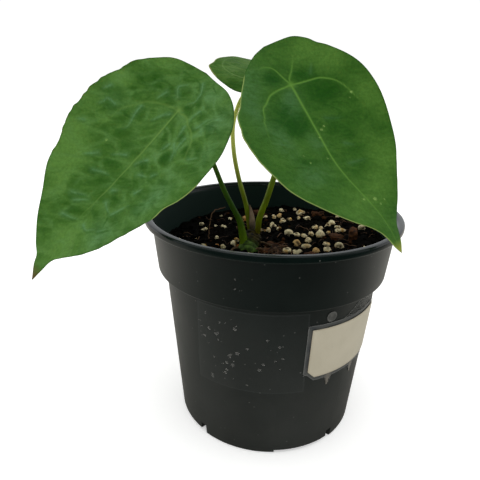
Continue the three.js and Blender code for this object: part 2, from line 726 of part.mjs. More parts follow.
addPiece("pot", potSolid(), COLOURS.pot, 0.45);
addPiece("soil", soilSolid(), COLOURS.soil, 0.95);
addPiece("crown", crownSolid(0), COLOURS.crown, 0.7);
addPiece("petiole_left", petioleSolid(PETIOLES.petiole_left), COLOURS.petioleDark, 0.5);
addPiece("petiole_right", petioleSolid(PETIOLES.petiole_right), COLOURS.petioleOlive, 0.5);
addPiece("petiole_back", petioleSolid(PETIOLES.petiole_back), COLOURS.petioleOlive, 0.5);
addPiece("sheath", sheathSolid(), COLOURS.sheath, 0.8);
addPiece("leaf_left", leafSolid(LEAVES.leaf_left), COLOURS.leaf, 0.4);
addPiece("leaf_right", leafSolid(LEAVES.leaf_right), COLOURS.leaf, 0.4);
addPiece("leaf_back", leafSolid(LEAVES.leaf_back), COLOURS.backLeaf, 0.4);
addPiece("label_film", filmSolid(), COLOURS.film, 0.2);
addPiece("label_paper", labelSolid(), COLOURS.paper, 0.7);
addPiece("round_sticker", stickerSolid(), COLOURS.sticker, 0.6);

export default group;
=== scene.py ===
# %% [markdown]
# # A young anthurium in its nursery pot
# The object is a house plant with three shield-like leaves, standing in the black
# plastic pot that it was grown in. The imported solids give every size and place.
# This lesson builds finer pieces round them, each with its own finish, then the
# camera and a plain white room. We start by loading the solids as a fixed frame, and
# a helper reads a solid's box, because the finer pieces have to stay in it.

# %% Load the frame
import math
import random

import bmesh
import bpy
import numpy as np
from mathutils import Matrix, Vector, noise


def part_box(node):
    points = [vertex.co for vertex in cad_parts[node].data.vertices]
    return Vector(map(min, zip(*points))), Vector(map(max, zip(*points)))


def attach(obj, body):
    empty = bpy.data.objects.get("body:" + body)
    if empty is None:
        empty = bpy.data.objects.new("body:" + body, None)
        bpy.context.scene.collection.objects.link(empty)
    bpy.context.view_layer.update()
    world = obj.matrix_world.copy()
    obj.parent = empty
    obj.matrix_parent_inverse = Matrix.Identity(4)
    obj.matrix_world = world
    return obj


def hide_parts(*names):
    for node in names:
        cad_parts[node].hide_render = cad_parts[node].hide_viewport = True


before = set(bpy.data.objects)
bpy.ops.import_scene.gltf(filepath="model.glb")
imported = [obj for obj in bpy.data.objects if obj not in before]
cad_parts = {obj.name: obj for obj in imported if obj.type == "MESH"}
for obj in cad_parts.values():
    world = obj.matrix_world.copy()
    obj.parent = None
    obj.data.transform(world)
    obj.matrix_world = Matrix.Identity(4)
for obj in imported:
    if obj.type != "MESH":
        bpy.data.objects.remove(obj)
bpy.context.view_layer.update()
print("the solids:", ", ".join(sorted(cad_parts)))

# %% [markdown]
# Sizes below are in millimetres, as on a drawing, and Blender works in metres, so
# one helper turns an array of points into a named piece and scales it on the way.
# Every piece rides on the one body of this object and hides the solids that it stands
# for. Values that change over a surface, such as how near a point is to a vein, are kept
# on the mesh as named attributes, which the materials read.

# %% Pieces from points
MM = 0.001
SAME_POINT = 0.002


def put_in_scene(thing):
    bpy.context.scene.collection.objects.link(thing)


def mesh_of(name, points, faces, values=None, merge=False):
    """A mesh with its faces turned outwards and its values kept at its points."""
    mesh = bpy.data.meshes.new(name)
    mesh.from_pydata((np.asarray(points) * MM).tolist(), [], faces)
    for value_name, value in (values or {}).items():
        layer = mesh.attributes.new(value_name, "FLOAT", "POINT")
        layer.data.foreach_set("value", np.asarray(value, np.float32))
    shape = bmesh.new()
    shape.from_mesh(mesh)
    if merge:
        bmesh.ops.remove_doubles(shape, verts=shape.verts, dist=SAME_POINT * MM)
    bmesh.ops.recalc_face_normals(shape, faces=shape.faces)
    shape.to_mesh(mesh)
    shape.free()
    mesh.shade_smooth()
    return mesh


def make_piece(name, points, faces, finish, slot, stands_for=(), values=None, merge=False):
    mesh = mesh_of(name, points, faces, values, merge)
    mesh.materials.append(finish)
    piece = bpy.data.objects.new(name, mesh)
    put_in_scene(piece)
    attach(piece, "root")
    if stands_for:
        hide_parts(*stands_for)
    print(f"{name}: {len(mesh.vertices)} points, {len(mesh.polygons)} faces")
    return piece


def grid_faces(rows, columns, closed=False, start=0, flip=False):
    """Four-sided faces between rows of points; closed joins the last column to the first."""
    faces = []
    for i in range(rows - 1):
        for j in range(columns if closed else columns - 1):
            right = (j + 1) % columns
            corners = [i * columns + j, i * columns + right]
            corners += [(i + 1) * columns + right, (i + 1) * columns + j]
            if flip:
                corners.reverse()
            faces.append([start + c for c in corners])
    return faces


def capped_faces(rings, sides):
    """Faces between closed rings, with a fan over each end; the two end points come last."""
    faces = grid_faces(rings, sides, closed=True)
    last = (rings - 1) * sides
    low_end, high_end = rings * sides, rings * sides + 1
    for k in range(sides):
        after = (k + 1) % sides
        faces.append([after, k, low_end])
        faces.append([last + k, last + after, high_end])
    return faces


def even_turns(sides):
    """Even angles once round a circle, in radians."""
    return np.arange(sides) * 2 * math.pi / sides


print("a ring of 6 sides turns by", np.degrees(even_turns(6)).round().tolist(), "degrees")
print("a tube of 3 rings of 6 has", len(capped_faces(3, 6)), "faces")


# %% [markdown]
# Stalks, roots, midribs and leaf edges are all smooth lines through a few places.
# The solids use a Catmull-Rom curve, which passes through each place, and step along
# it evenly by length. The same curve here puts the finer pieces exactly on them.

# %% Smooth lines through places
FINE_STEPS = 40


def smooth_line(places, steps):
    """Even steps along the Catmull-Rom curve through places."""
    p = np.asarray(places, float)
    p = np.vstack([2 * p[0] - p[1], p, 2 * p[-1] - p[-2]])
    t = np.linspace(0, 1, FINE_STEPS, endpoint=False)[:, None]
    dense = []
    for a, b, c, d in zip(p, p[1:], p[2:], p[3:]):
        curve = 2 * b + (c - a) * t + (2 * a - 5 * b + 4 * c - d) * t**2
        dense.append((curve + (3 * b - a - 3 * c + d) * t**3) / 2)
    dense = np.vstack([*dense, p[-2:-1]])
    length = np.concatenate([[0], np.cumsum(np.linalg.norm(np.diff(dense, axis=0), axis=1))])
    at = np.linspace(0, length[-1], steps + 1)
    return np.stack([np.interp(at, length, axis) for axis in dense.T], axis=1)


def eased(share):
    t = np.clip(share, 0, 1)
    return t * t * (3 - 2 * t)


def mixed(a, b, share):
    return a + (b - a) * share


def unit(v):
    return v / np.linalg.norm(v, axis=-1, keepdims=True)


short_line = smooth_line([(0, 0, 0), (0, 1, 4), (0, 0, 9)], 4)
print("4 even steps through 3 places:", short_line.round(1).tolist())

# %% [markdown]
# A stalk is a ring of points carried along its line. The ring keeps its turn from
# one step to the next, so that the stalk doesn't twist, and a function gives the
# radius at each point, so that a stalk can swell, taper or carry ring scars.

# %% Tubes along a line
def tube(line, radius, sides):
    """Points and faces of a tube; radius holds one value for each step, or one per point."""
    tangent = unit(np.gradient(line, axis=0))
    across = np.cross(tangent[0], [0.3, 0.2, 1.0] if abs(tangent[0][2]) < 0.9 else [1.0, 0, 0])
    rings = []
    turn = even_turns(sides)
    radius = np.asarray(radius, float)
    radius = radius[:, None] if radius.ndim == 1 else radius
    for place, along, size in zip(line, tangent, radius):
        across = unit(across - along * (across @ along))
        other = np.cross(along, across)
        way = np.cos(turn)[:, None] * across + np.sin(turn)[:, None] * other
        rings.append(place + way * np.broadcast_to(size, (sides,))[:, None])
    points = np.vstack([*rings, line[:1], line[-1:]])
    return points, capped_faces(len(line), sides)


def gathered(parts):
    """The points and faces of several parts as those of one."""
    points = np.vstack([p for p, _ in parts])
    faces = []
    start = 0
    for p, part_faces in parts:
        faces += [[start + corner for corner in face] for face in part_faces]
        start += len(p)
    return points, faces


points, faces = tube(short_line, np.ones(5), 8)
print("a short tube of 8 sides:", len(points), "points and", len(faces), "faces")

# %% [markdown]
# Materials are node trees. The helper adds one node and fills its sockets: a value
# is set on the socket, and another node's socket is linked to it. Mixing two colours
# comes up so often that it gets a short name too.

# %% Nodes by name
def fill(made, sockets):
    """Sets plain values on a node's sockets, and links other nodes' sockets to them."""
    for key, value in sockets.items():
        if isinstance(value, bpy.types.NodeSocket):
            made.id_data.links.new(value, made.inputs[key])
        else:
            made.inputs[key].default_value = value
    return made


def node(tree, kind, sockets=None, **settings):
    made = tree.nodes.new("ShaderNode" + kind)
    for key, value in settings.items():
        setattr(made, key, value)
    return fill(made, sockets or {})


def rgb(red, green, blue):
    return (red, green, blue, 1)


def mix_colours(tree, share, first, second, how="MIX"):
    sockets = {0: share, 6: first, 7: second}
    return node(tree, "Mix", sockets, data_type="RGBA", blend_type=how).outputs[2]


def maths(tree, how, *values):
    return node(tree, "Math", dict(enumerate(values)), operation=how).outputs[0]


def times(tree, value, by):
    return maths(tree, "MULTIPLY", value, by)


def scaled(tree, value, by, plus):
    return maths(tree, "MULTIPLY_ADD", value, by, plus)


def ranged(tree, value, low, high, to_low=0.0, to_high=1.0):
    sockets = {"Value": value, "From Min": low, "From Max": high, "To Min": to_low, "To Max": to_high}
    return node(tree, "MapRange", sockets, interpolation_type="SMOOTHSTEP").outputs[0]


def value_of(tree, name):
    return node(tree, "Attribute", attribute_name=name).outputs["Fac"]


def new_finish(name, **values):
    """A material and its main shader, with plain values on the shader's own sockets."""
    finish = bpy.data.materials.new(name)
    finish.use_nodes = True
    shader = finish.node_tree.nodes["Principled BSDF"]
    for key, value in values.items():
        shader.inputs[key.replace("_", " ")].default_value = value
    return finish, finish.node_tree, shader


def link(socket, shader, name):
    fill(shader, {name: socket})


def place_in(tree):
    return node(tree, "TexCoord").outputs["Object"]


print("a green, as a colour socket takes it:", rgb(0.1, 0.4, 0.1))

# %% [markdown]
# Three effects come back in most finishes here, so each is a node group, built once.
# "mottle" mixes two colours in soft clouds: living tissue, old plastic and soil are
# never one colour. "fine grain" gives a small uneven height for Bump. "specks" gives
# a mask of small separate spots, for dust, pores and pale dots. Each has named sockets,
# so a finish can set its own scale and strength. Short helpers then place a group in a
# material, give a shader its grain, or lay one colour on another where a mask is.

# %% Shared node groups
def new_group(name, takes, gives):
    group = bpy.data.node_groups.new(name, "ShaderNodeTree")
    for socket_name, (kind, value) in takes.items():
        socket = group.interface.new_socket(socket_name, in_out="INPUT", socket_type=kind)
        socket.default_value = value
    for socket_name, kind in gives.items():
        group.interface.new_socket(socket_name, in_out="OUTPUT", socket_type=kind)
    start = group.nodes.new("NodeGroupInput").outputs
    end = group.nodes.new("NodeGroupOutput").inputs
    return group, start, end


NUMBER, COLOUR = "NodeSocketFloat", "NodeSocketColor"

mottle, start, end = new_group(
    "mottle",
    {
        "First": (COLOUR, rgb(0.1, 0.1, 0.1)),
        "Second": (COLOUR, rgb(0.2, 0.2, 0.2)),
        "Scale": (NUMBER, 60.0),
        "Contrast": (NUMBER, 0.5),
    },
    {"Colour": COLOUR, "Mask": NUMBER},
)
where = place_in(mottle)
clouds = node(mottle, "TexNoise", {"Vector": where, "Scale": start["Scale"], "Detail": 5.0})
half = maths(mottle, "MULTIPLY", start["Contrast"], 0.5)
spread = ranged(mottle, clouds.outputs["Fac"], 0.3, 0.7)
mask = maths(mottle, "MULTIPLY", spread, start["Contrast"])
mask = maths(mottle, "ADD", mask, maths(mottle, "SUBTRACT", 0.5, half))
mottle.links.new(mask, end["Mask"])
mottle.links.new(mix_colours(mottle, mask, start["First"], start["Second"]), end["Colour"])

fine_grain, start, end = new_group(
    "fine grain", {"Scale": (NUMBER, 900.0), "Roughness": (NUMBER, 0.6)}, {"Height": NUMBER}
)
where = place_in(fine_grain)
sockets = {"Vector": where, "Scale": start["Scale"], "Detail": 3.0, "Roughness": start["Roughness"]}
fine_grain.links.new(node(fine_grain, "TexNoise", sockets).outputs["Fac"], end["Height"])

specks, start, end = new_group(
    "specks", {"Scale": (NUMBER, 500.0), "Size": (NUMBER, 0.2), "Share": (NUMBER, 0.3)}, {"Mask": NUMBER}
)
where = place_in(specks)
cells = node(specks, "TexVoronoi", {"Vector": where, "Scale": start["Scale"]})
near = maths(specks, "LESS_THAN", cells.outputs["Distance"], start["Size"])
chosen = node(specks, "SeparateColor", {"Color": cells.outputs["Color"]}).outputs[0]
chosen = maths(specks, "LESS_THAN", chosen, start["Share"])
specks.links.new(maths(specks, "MULTIPLY", near, chosen), end["Mask"])
print("node groups:", [g.name for g in bpy.data.node_groups])


def use(tree, group, **sockets):
    made = tree.nodes.new("ShaderNodeGroup")
    made.node_tree = group
    return fill(made, sockets).outputs


def bump(tree, height, depth_mm, strength=1.0, under=None):
    sockets = {"Height": height, "Distance": depth_mm * MM, "Strength": strength}
    if under is not None:
        sockets["Normal"] = under
    return node(tree, "Bump", sockets).outputs["Normal"]


def mottled(tree, first, second, scale, contrast):
    return use(tree, mottle, First=first, Second=second, Scale=scale, Contrast=contrast)


def grained(tree, shader, scale, depth_mm, strength):
    """Gives a shader the fine grain as its only bump."""
    height = use(tree, fine_grain, Scale=scale)["Height"]
    link(bump(tree, height, depth_mm, strength), shader, "Normal")


def laid_on(tree, colour, other, mask, strength):
    """Another colour laid on a colour where a mask is, at a strength."""
    return mix_colours(tree, times(tree, mask, strength), colour, other)


# %% [markdown]
# ## The pot
# A nursery pot is blown or injected in thin black plastic: a tapered body, a wider
# collar above a step, and a rolled lip. Its height and rim are read from the packed
# solid's box, and the other sizes are repeated from the drawing, so that the finer wall
# lies where the solid's wall lies.

# %% Sizes of the pot
pot_high = np.array(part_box("pot")[1]) / MM
POT_HEIGHT = pot_high[2]
RIM_RADIUS = pot_high[0]
RIM_INNER = 61.6
LIP_HEIGHT = 3.3
STEP_HEIGHT = 85.2
FOOT_RADIUS = 47.8
BODY_TOP_RADIUS = 55.1
COLLAR_FOOT_RADIUS = 58.9
COLLAR_TOP_RADIUS = 61.4
WALL = 1.5
ARC_RAISE = 2.0
FLOOR_TOP = 4.0
POT_SIDES = 192
SHELF_TOP = STEP_HEIGHT + WALL
LIP_FOOT = POT_HEIGHT - LIP_HEIGHT
print("the pot is", round(POT_HEIGHT, 1), "mm high and", round(2 * RIM_RADIUS, 1), "mm across")

# %% [markdown]
# The water spots, the label, its film and the sticker all lie on the wall, and the
# soil fills it. So two helpers give the wall's radius at a height, and points on the
# wall at an angle and a height, lifted off it by a little.

# %% Places on the wall
def wall_radius(z):
    """Outer radius of the pot's wall at a height, below and above the step."""
    body = mixed(FOOT_RADIUS, BODY_TOP_RADIUS, z / STEP_HEIGHT)
    share = (z - STEP_HEIGHT) / (LIP_FOOT - STEP_HEIGHT)
    return np.where(z < STEP_HEIGHT, body, mixed(COLLAR_FOOT_RADIUS, COLLAR_TOP_RADIUS, share))


def on_wall(angle, z, out=0.0):
    """Points on the wall, for angles in degrees and heights, lifted out from it."""
    radius = wall_radius(z) + out
    turn = np.radians(angle)
    return np.stack([radius * np.cos(turn), radius * np.sin(turn), z + 0 * radius], axis=-1)


print("a place on the front, in mm:", on_wall(-90, 60.0).round(1).tolist())

# %% [markdown]
# The wall is turned on a lathe. A screw modifier could do it, but points from one
# profile are shorter to write. The solid has 48 flat sides and plain chamfers. Here
# the same profile goes round in 192 steps, and each corner of it is rounded by cutting
# it twice, the second time half as deep.

# %% Profile of the wall
def softened(profile, cut, rounds=2):
    """The open profile with each inner corner cut off, up to cut along both its sides."""
    p = np.asarray(profile, float)
    for _ in range(rounds):
        before, corner, after = p[:-2], p[1:-1], p[2:]
        length_in = np.linalg.norm(before - corner, axis=1, keepdims=True)
        length_out = np.linalg.norm(after - corner, axis=1, keepdims=True)
        one = corner + (before - corner) / length_in * np.minimum(cut, length_in / 3)
        two = corner + (after - corner) / length_out * np.minimum(cut, length_out / 3)
        p = np.vstack([p[:1], np.stack([one, two], axis=1).reshape(-1, 2), p[-1:]])
        cut /= 2
    return p


ROUND, SOFTENING, FOOT_CHAMFER = 0.6, 0.3, 0.8
collar_inner = COLLAR_TOP_RADIUS - WALL
collar_foot_inner = COLLAR_FOOT_RADIUS - WALL
profile = [
    [0, 0],
    [FOOT_RADIUS - FOOT_CHAMFER, 0],
    [FOOT_RADIUS, FOOT_CHAMFER],
    [BODY_TOP_RADIUS, STEP_HEIGHT - ROUND],
    [BODY_TOP_RADIUS + ROUND, STEP_HEIGHT],
    [COLLAR_FOOT_RADIUS - ROUND, STEP_HEIGHT],
    [COLLAR_FOOT_RADIUS, STEP_HEIGHT + ROUND],
    [COLLAR_TOP_RADIUS, LIP_FOOT],
    [RIM_RADIUS - ROUND, LIP_FOOT],
    [RIM_RADIUS, LIP_FOOT + ROUND],
    [RIM_RADIUS, POT_HEIGHT - ROUND],
    [RIM_RADIUS - ROUND, POT_HEIGHT],
    [RIM_INNER + ROUND, POT_HEIGHT],
    [RIM_INNER - ROUND / 2, POT_HEIGHT - ROUND],
    [collar_inner + ROUND / 2, LIP_FOOT + 2 * ROUND],
    [collar_inner, LIP_FOOT - 2 * ROUND],
    [collar_foot_inner, SHELF_TOP + ROUND / 2],
    [collar_foot_inner - ROUND / 2, SHELF_TOP],
    [BODY_TOP_RADIUS - WALL, SHELF_TOP - ROUND / 2],
    [float(wall_radius(FLOOR_TOP)) - WALL, FLOOR_TOP],
    [0, FLOOR_TOP],
]
outline = softened(profile, cut=SOFTENING)
print("the profile has", len(profile), "corners, and", len(outline), "once they are rounded")

# %% [markdown]
# Two more shapes come from rings and rows of points: the turned wall itself, and a
# curved block between two radii, heights and angles. The blocks are the cutters that
# take away the drain arcs, slots and notches of the underside, as in the solid.

# %% Turned walls and curved blocks
BLOCK_STEP = 2


def lathed(outline, sides):
    """Points and faces of an outline turned round the axis, its two ends on the axis."""
    turn = even_turns(sides)
    radius, height = outline[1:-1].T
    rings = np.stack(
        [
            np.outer(radius, np.cos(turn)),
            np.outer(radius, np.sin(turn)),
            np.repeat(height[:, None], sides, axis=1),
        ],
        axis=-1,
    )
    points = np.vstack([rings.reshape(-1, 3), [[0, 0, outline[0][1]], [0, 0, outline[-1][1]]]])
    return points, capped_faces(len(radius), sides)


def sector(inner, outer, low, high, middle, width):
    """Points and faces of a curved block, between two radii, heights and angles."""
    steps = max(2, round(width / BLOCK_STEP))
    turn = np.radians(np.linspace(middle - width / 2, middle + width / 2, steps + 1))
    rows = [
        np.stack([radius * np.cos(turn), radius * np.sin(turn), 0 * turn + z], axis=-1)
        for radius, z in ((inner, low), (outer, low), (outer, high), (inner, high))
    ]
    points = np.stack(rows, axis=1).reshape(-1, 3)
    faces = grid_faces(steps + 1, 4, closed=True)
    faces += [[3, 2, 1, 0], [4 * steps + k for k in range(4)]]
    return points, faces


wall_points, wall_faces = lathed(outline, POT_SIDES)
print("the turned wall:", len(wall_points), "points and", len(wall_faces), "faces")

# %% [markdown]
# The pot's finish is black plastic with a faint green cast. It mirrors little head on
# and much at a grazing angle, so its sides look grey in a white room: a low IOR gives
# that. Under the step the wall is duller, and it is painted lighter in soft clouds, more
# so towards the foot: painted light that sets the body apart from the collar. The inner
# faces are painted a greener dark, as a painted reflection. An old clear tape has left a
# faint rectangle on the front, drawn by comparing each point's place with its edges. Its
# edges are lighter lines, and the top one, just under the step, is a painted highlight.

# %% Black plastic
TAPE_LEFT, TAPE_RIGHT = -32.0, 18.0
TAPE_LOW, TAPE_HIGH = 39.0, 82.0
TAPE_LINE = 0.45


def tape_masks(tree):
    """Inside the tape's rectangle, and on its edge lines, of which the top one is a painted highlight
    along the step.
    """
    where = node(tree, "SeparateXYZ", {0: place_in(tree)}).outputs
    wavy = node(tree, "TexNoise", {"Scale": 120.0}).outputs["Fac"]
    sway = times(tree, maths(tree, "SUBTRACT", wavy, 0.5), 0.8 * MM)
    inward = []
    for value, low, high in ((where[0], TAPE_LEFT, TAPE_RIGHT), (where[2], TAPE_LOW, TAPE_HIGH)):
        off = maths(tree, "SUBTRACT", maths(tree, "ADD", value, sway), (low + high) / 2 * MM)
        inward.append(maths(tree, "SUBTRACT", (high - low) / 2 * MM, maths(tree, "ABSOLUTE", off)))
    inward = maths(tree, "MINIMUM", *inward)
    front = maths(tree, "LESS_THAN", where[1], 0.0)
    inside = times(tree, front, ranged(tree, inward, 0.0, 0.4 * MM))
    edge = ranged(tree, maths(tree, "ABSOLUTE", inward), 0.0, TAPE_LINE * MM, 1.0, 0.0)
    return inside, times(tree, edge, front), where[2]


pot_plastic, tree, shader = new_finish("pot_plastic", IOR=1.32)
inside, tape_and_step_line, height = tape_masks(tree)
plastic = mottled(tree, rgb(0.001, 0.0042, 0.0033), rgb(0.003, 0.0075, 0.0062), 45.0, 0.9)
facing = node(tree, "NewGeometry").outputs["Normal"]
outwards = node(tree, "VectorMath", {0: facing, 1: place_in(tree)}, operation="DOT_PRODUCT")
inner = ranged(tree, outwards.outputs["Value"], 0.0, -0.03)
below_step = ranged(tree, height, (STEP_HEIGHT + 0.8) * MM, (STEP_HEIGHT - 0.8) * MM)
# Painted light: below the step the wall is lighter in soft clouds, more so towards the foot.
lighter_clouds = mottled(tree, rgb(0, 0, 0), rgb(1, 1, 1), 28.0, 1.0)["Mask"]
lighter_clouds = scaled(tree, lighter_clouds, 0.5, 0.5)
lighter_to_foot = ranged(tree, height, STEP_HEIGHT * MM, 0.0, 0.45, 1.3)
lighter_below_step = times(tree, scaled(tree, below_step, 0.9, 0.1), lighter_clouds)
lighter_below_step = times(tree, lighter_below_step, lighter_to_foot)
colour = laid_on(tree, plastic["Colour"], rgb(0.075, 0.074, 0.068), lighter_below_step, 0.27)
colour = laid_on(tree, colour, rgb(0.06, 0.065, 0.065), inside, 0.06)
# The tape's edge lines are lighter; the top one, just under the step, is a painted highlight.
colour = laid_on(tree, colour, rgb(0.09, 0.1, 0.1), tape_and_step_line, 0.15)
flecks = use(tree, specks, Scale=420.0, Size=0.13, Share=0.1)["Mask"]
colour = laid_on(tree, colour, rgb(0.12, 0.12, 0.11), flecks, 0.5)
# The inner faces are a greener dark: a painted reflection.
link(mix_colours(tree, inner, colour, rgb(0.003, 0.016, 0.012)), shader, "Base Color")
dull = scaled(tree, lighter_below_step, 0.12, 0.34)
dull = scaled(tree, inner, 0.3, dull)
lip = ranged(tree, height, LIP_FOOT * MM, (LIP_FOOT + 0.5) * MM)
dull = scaled(tree, lip, -0.2, dull)
dull = scaled(tree, inside, -0.05, dull)
link(scaled(tree, plastic["Mask"], 0.06, dull), shader, "Roughness")
grained(tree, shader, 1500.0, 0.04, 0.5)
print("pot_plastic:", len(tree.nodes), "nodes")

# %% [markdown]
# Water drains through raised arcs between the feet, with a slot through the floor near
# both ends of each arc and a notch in the wall at one end. Booleans cut them, and the
# result is kept as a plain mesh. Faces that meet steeply keep a sharp edge.

# %% Cut the underside and place the pot
DRAIN_ARCS = [(-172, -128), (-83, -43), (6, 50), (96, 140)]
ARC_INNER = 37.0
SLOT_INNER, SLOT_OUTER, SLOT_DEGREES, SLOT_MARGIN = 41.0, 45.6, 7.0, 1.5
NOTCH_DEGREES, NOTCH_HEIGHT, NOTCH_DEPTH = 4.4, 5.8, 3.0
SHARP_EDGE = math.radians(38)

arcs = [sector(ARC_INNER, RIM_RADIUS, -1, ARC_RAISE, (a + b) / 2, b - a) for a, b in DRAIN_ARCS]
slot_middles = [a + SLOT_MARGIN + SLOT_DEGREES / 2 for a, _ in DRAIN_ARCS]
slot_middles += [b - SLOT_MARGIN - SLOT_DEGREES / 2 for _, b in DRAIN_ARCS]
slots = [sector(SLOT_INNER, SLOT_OUTER, -1, FLOOR_TOP + 1, m, SLOT_DEGREES) for m in slot_middles]
notches = [
    sector(FOOT_RADIUS - NOTCH_DEPTH, RIM_RADIUS, -1, NOTCH_HEIGHT, b - NOTCH_DEGREES / 2, NOTCH_DEGREES)
    for _, b in DRAIN_ARCS
]


def cut_away(piece, parts):
    """Takes blocks away from a piece, and leaves its mesh cut and its modifiers empty."""
    cutter = bpy.data.objects.new("cutter", mesh_of("cutter", *gathered(parts)))
    put_in_scene(cutter)
    cut = piece.modifiers.new("cut", "BOOLEAN")
    cut.operation = "DIFFERENCE"
    cut.solver = "EXACT"
    cut.object = cutter
    ready = piece.evaluated_get(bpy.context.evaluated_depsgraph_get())
    piece.data = bpy.data.meshes.new_from_object(ready)
    piece.modifiers.clear()
    bpy.data.objects.remove(cutter)


pot = make_piece("pot_wall", wall_points, wall_faces, pot_plastic, "pot_plastic", ["pot"])
for parts in (arcs, slots, notches):
    cut_away(pot, parts)
pot.data.shade_smooth()
pot.data.set_sharp_from_angle(angle=SHARP_EDGE)
print("pot_wall after the cuts:", len(pot.data.polygons), "faces")

# %% [markdown]
# Hard water has dried on the wall in small pale rings. Each is a thin irregular disc
# a few hundredths of a millimetre proud of the plastic, and a value that runs from
# its middle to its edge lets the finish draw the darker middle and the chalky ring.
# They lie closest together left of the middle, so a seeded draw fills three areas,
# given as angles and heights on the wall, each with its own sizes and number.

# %% Dried water spots
SPOT_FIELDS = [
    # angles, heights, least and greatest radius, how many spots
    ((-126, -104), (41, 78), (0.4, 1.5), 34),
    ((-100, -71), (40, 81), (0.4, 1.2), 14),
    ((-105, -100), (94, 101), (0.3, 0.6), 5),
]
SPOT_RINGS, SPOT_SIDES, SPOT_LIFT, SPOT_RIPPLE = 5, 20, 0.05, 0.16
draw = random.Random(3)
water_spots = [
    (draw.uniform(*angles), draw.uniform(*heights), mixed(*sizes, draw.random() ** 2))
    for angles, heights, sizes, count in SPOT_FIELDS
    for _ in range(count)
]
parts, centred = [], []
for angle, z, size in water_spots:
    ripple = [1 + draw.uniform(-SPOT_RIPPLE, SPOT_RIPPLE) for _ in range(SPOT_SIDES)]
    turn = even_turns(SPOT_SIDES)
    share = np.linspace(0, 1, SPOT_RINGS)[:, None]
    reach = size * share * np.array(ripple) * 0.8
    heights = z + reach * np.sin(turn)
    angles = angle + np.degrees(reach * np.cos(turn) / wall_radius(z))
    lift = SPOT_LIFT * (1 - 0.6 * share**2)
    points = on_wall(angles, heights, lift).reshape(-1, 3)
    parts.append((points, grid_faces(SPOT_RINGS, SPOT_SIDES, closed=True, flip=True)))
    centred += np.repeat(share[:, 0], SPOT_SIDES).tolist()

water_mark, tree, shader = new_finish("water_mark", IOR=1.4, Roughness=0.5)
ring = ranged(tree, value_of(tree, "reach"), 0.35, 0.8)
colour = mix_colours(tree, ring, rgb(0.13, 0.13, 0.12), rgb(0.22, 0.22, 0.2))
link(colour, shader, "Base Color")
fade = ranged(tree, value_of(tree, "reach"), 0.55, 1.0, 0.6, 0.0)
broken = ranged(tree, node(tree, "TexNoise", {"Scale": 700.0}).outputs["Fac"], 0.3, 0.6)
link(times(tree, fade, scaled(tree, broken, 0.6, 0.4)), shader, "Alpha")
make_piece("water_spots", *gathered(parts), water_mark, "pot_plastic", values={"reach": centred})

# %% [markdown]
# ## The soil
# The pot is filled to a finger's width below its rim with a dark, open mix: crumbs of
# bark and coir, white and cream lumps of perlite, some larger bark chips, and fibres.
# A displaced plane alone looks like tar, so the ground is a rough height field and the
# loose bits on it are pieces of their own, each half sunk in it. The larger bits lie
# where the real ones do. The rest are strewn by the same seeded rule as in the solid.

# %% Ground under the loose bits
SOIL_LEVEL, SLOPE_X, SLOPE_Y, SWELL = 96.5, 0.045, 0.03, 0.7
SOIL_GAP, GROUND_PLAY = 0.3, 0.2
GROUND_STEP, GROUND_SIDES = 0.75, 240


def soil_level(x, y):
    """The solid's soil height."""
    bumps = np.sin(x * 0.42 + 1.3) * np.cos(y * 0.37) + 0.6 * np.sin(x * 0.9 - y * 0.75)
    return SOIL_LEVEL + SLOPE_X * x + SLOPE_Y * y + SWELL * bumps


def crumbly(x, y):
    """Extra unevenness of the ground, in millimetres: lumps, then crumbs."""
    lumps = noise.noise((x * 0.23, y * 0.23, 3.0))
    crumbs = noise.noise((x * 0.8, y * 0.8, 9.0)) + 0.5 * noise.noise((x * 1.9, y * 1.9, 5.0))
    return 0.9 * lumps + 0.75 * crumbs


edge_radius = float(wall_radius(SOIL_LEVEL)) - WALL - SOIL_GAP - GROUND_PLAY
rings = int(edge_radius / GROUND_STEP)
turn = even_turns(GROUND_SIDES)
points = []
for radius in np.linspace(edge_radius, edge_radius / rings, rings):
    ring = [(radius * math.cos(a), radius * math.sin(a)) for a in turn]
    points += [(x, y, float(soil_level(x, y)) + crumbly(x, y)) for x, y in ring]
shelf = SHELF_TOP + SOIL_GAP
skirt = [
    (float(wall_radius(FLOOR_TOP)) - WALL - SOIL_GAP - GROUND_PLAY, FLOOR_TOP + SOIL_GAP),
    (BODY_TOP_RADIUS - WALL - SOIL_GAP - 0.1, shelf),
    (COLLAR_FOOT_RADIUS - WALL - SOIL_GAP - 0.6, shelf + 0.1),
]
low = [(r * math.cos(a), r * math.sin(a), z) for r, z in skirt for a in turn]
points = np.array(low + points + [(0, 0, FLOOR_TOP + SOIL_GAP), (0, 0, float(soil_level(0, 0)))])
faces = capped_faces(rings + len(skirt), GROUND_SIDES)

potting_mix, tree, shader = new_finish("potting_mix", Specular_IOR_Level=0.02)
soil_colour = mottled(tree, rgb(0.0004, 0.0004, 0.0003), rgb(0.0024, 0.0024, 0.0017), 220.0, 1.0)
warm = mottled(tree, rgb(0, 0, 0), rgb(1, 1, 1), 70.0, 1.0)["Mask"]
colour = laid_on(tree, soil_colour["Colour"], rgb(0.006, 0.0035, 0.0015), warm, 0.2)
link(colour, shader, "Base Color")
link(scaled(tree, soil_colour["Mask"], 0.25, 0.65), shader, "Roughness")
grained(tree, shader, 800.0, 0.5, 0.9)
make_piece("soil_ground", points, faces, potting_mix, "soil_mix", ["soil"])

# %% [markdown]
# Perlite is glass foam, crushed: pale lumps with flat broken sides and round pores,
# some stained brown by the bark. To make one, a ball is cut by a few random planes,
# which gives the flats, then dented by pores. The same recipe, with other sizes, makes
# the dark crumbs.

# %% Lumps from a ball
def ball(level):
    """Directions and faces of an even ball."""
    made = bmesh.new()
    bmesh.ops.create_icosphere(made, subdivisions=level, radius=1.0)
    ways = np.array([v.co[:] for v in made.verts])
    faces = [[v.index for v in face.verts] for face in made.faces]
    made.free()
    return ways, faces


BALLS = {level: ball(level) for level in (1, 3, 4)}
print("points of each ball:", {level: len(ways) for level, (ways, _) in BALLS.items()})


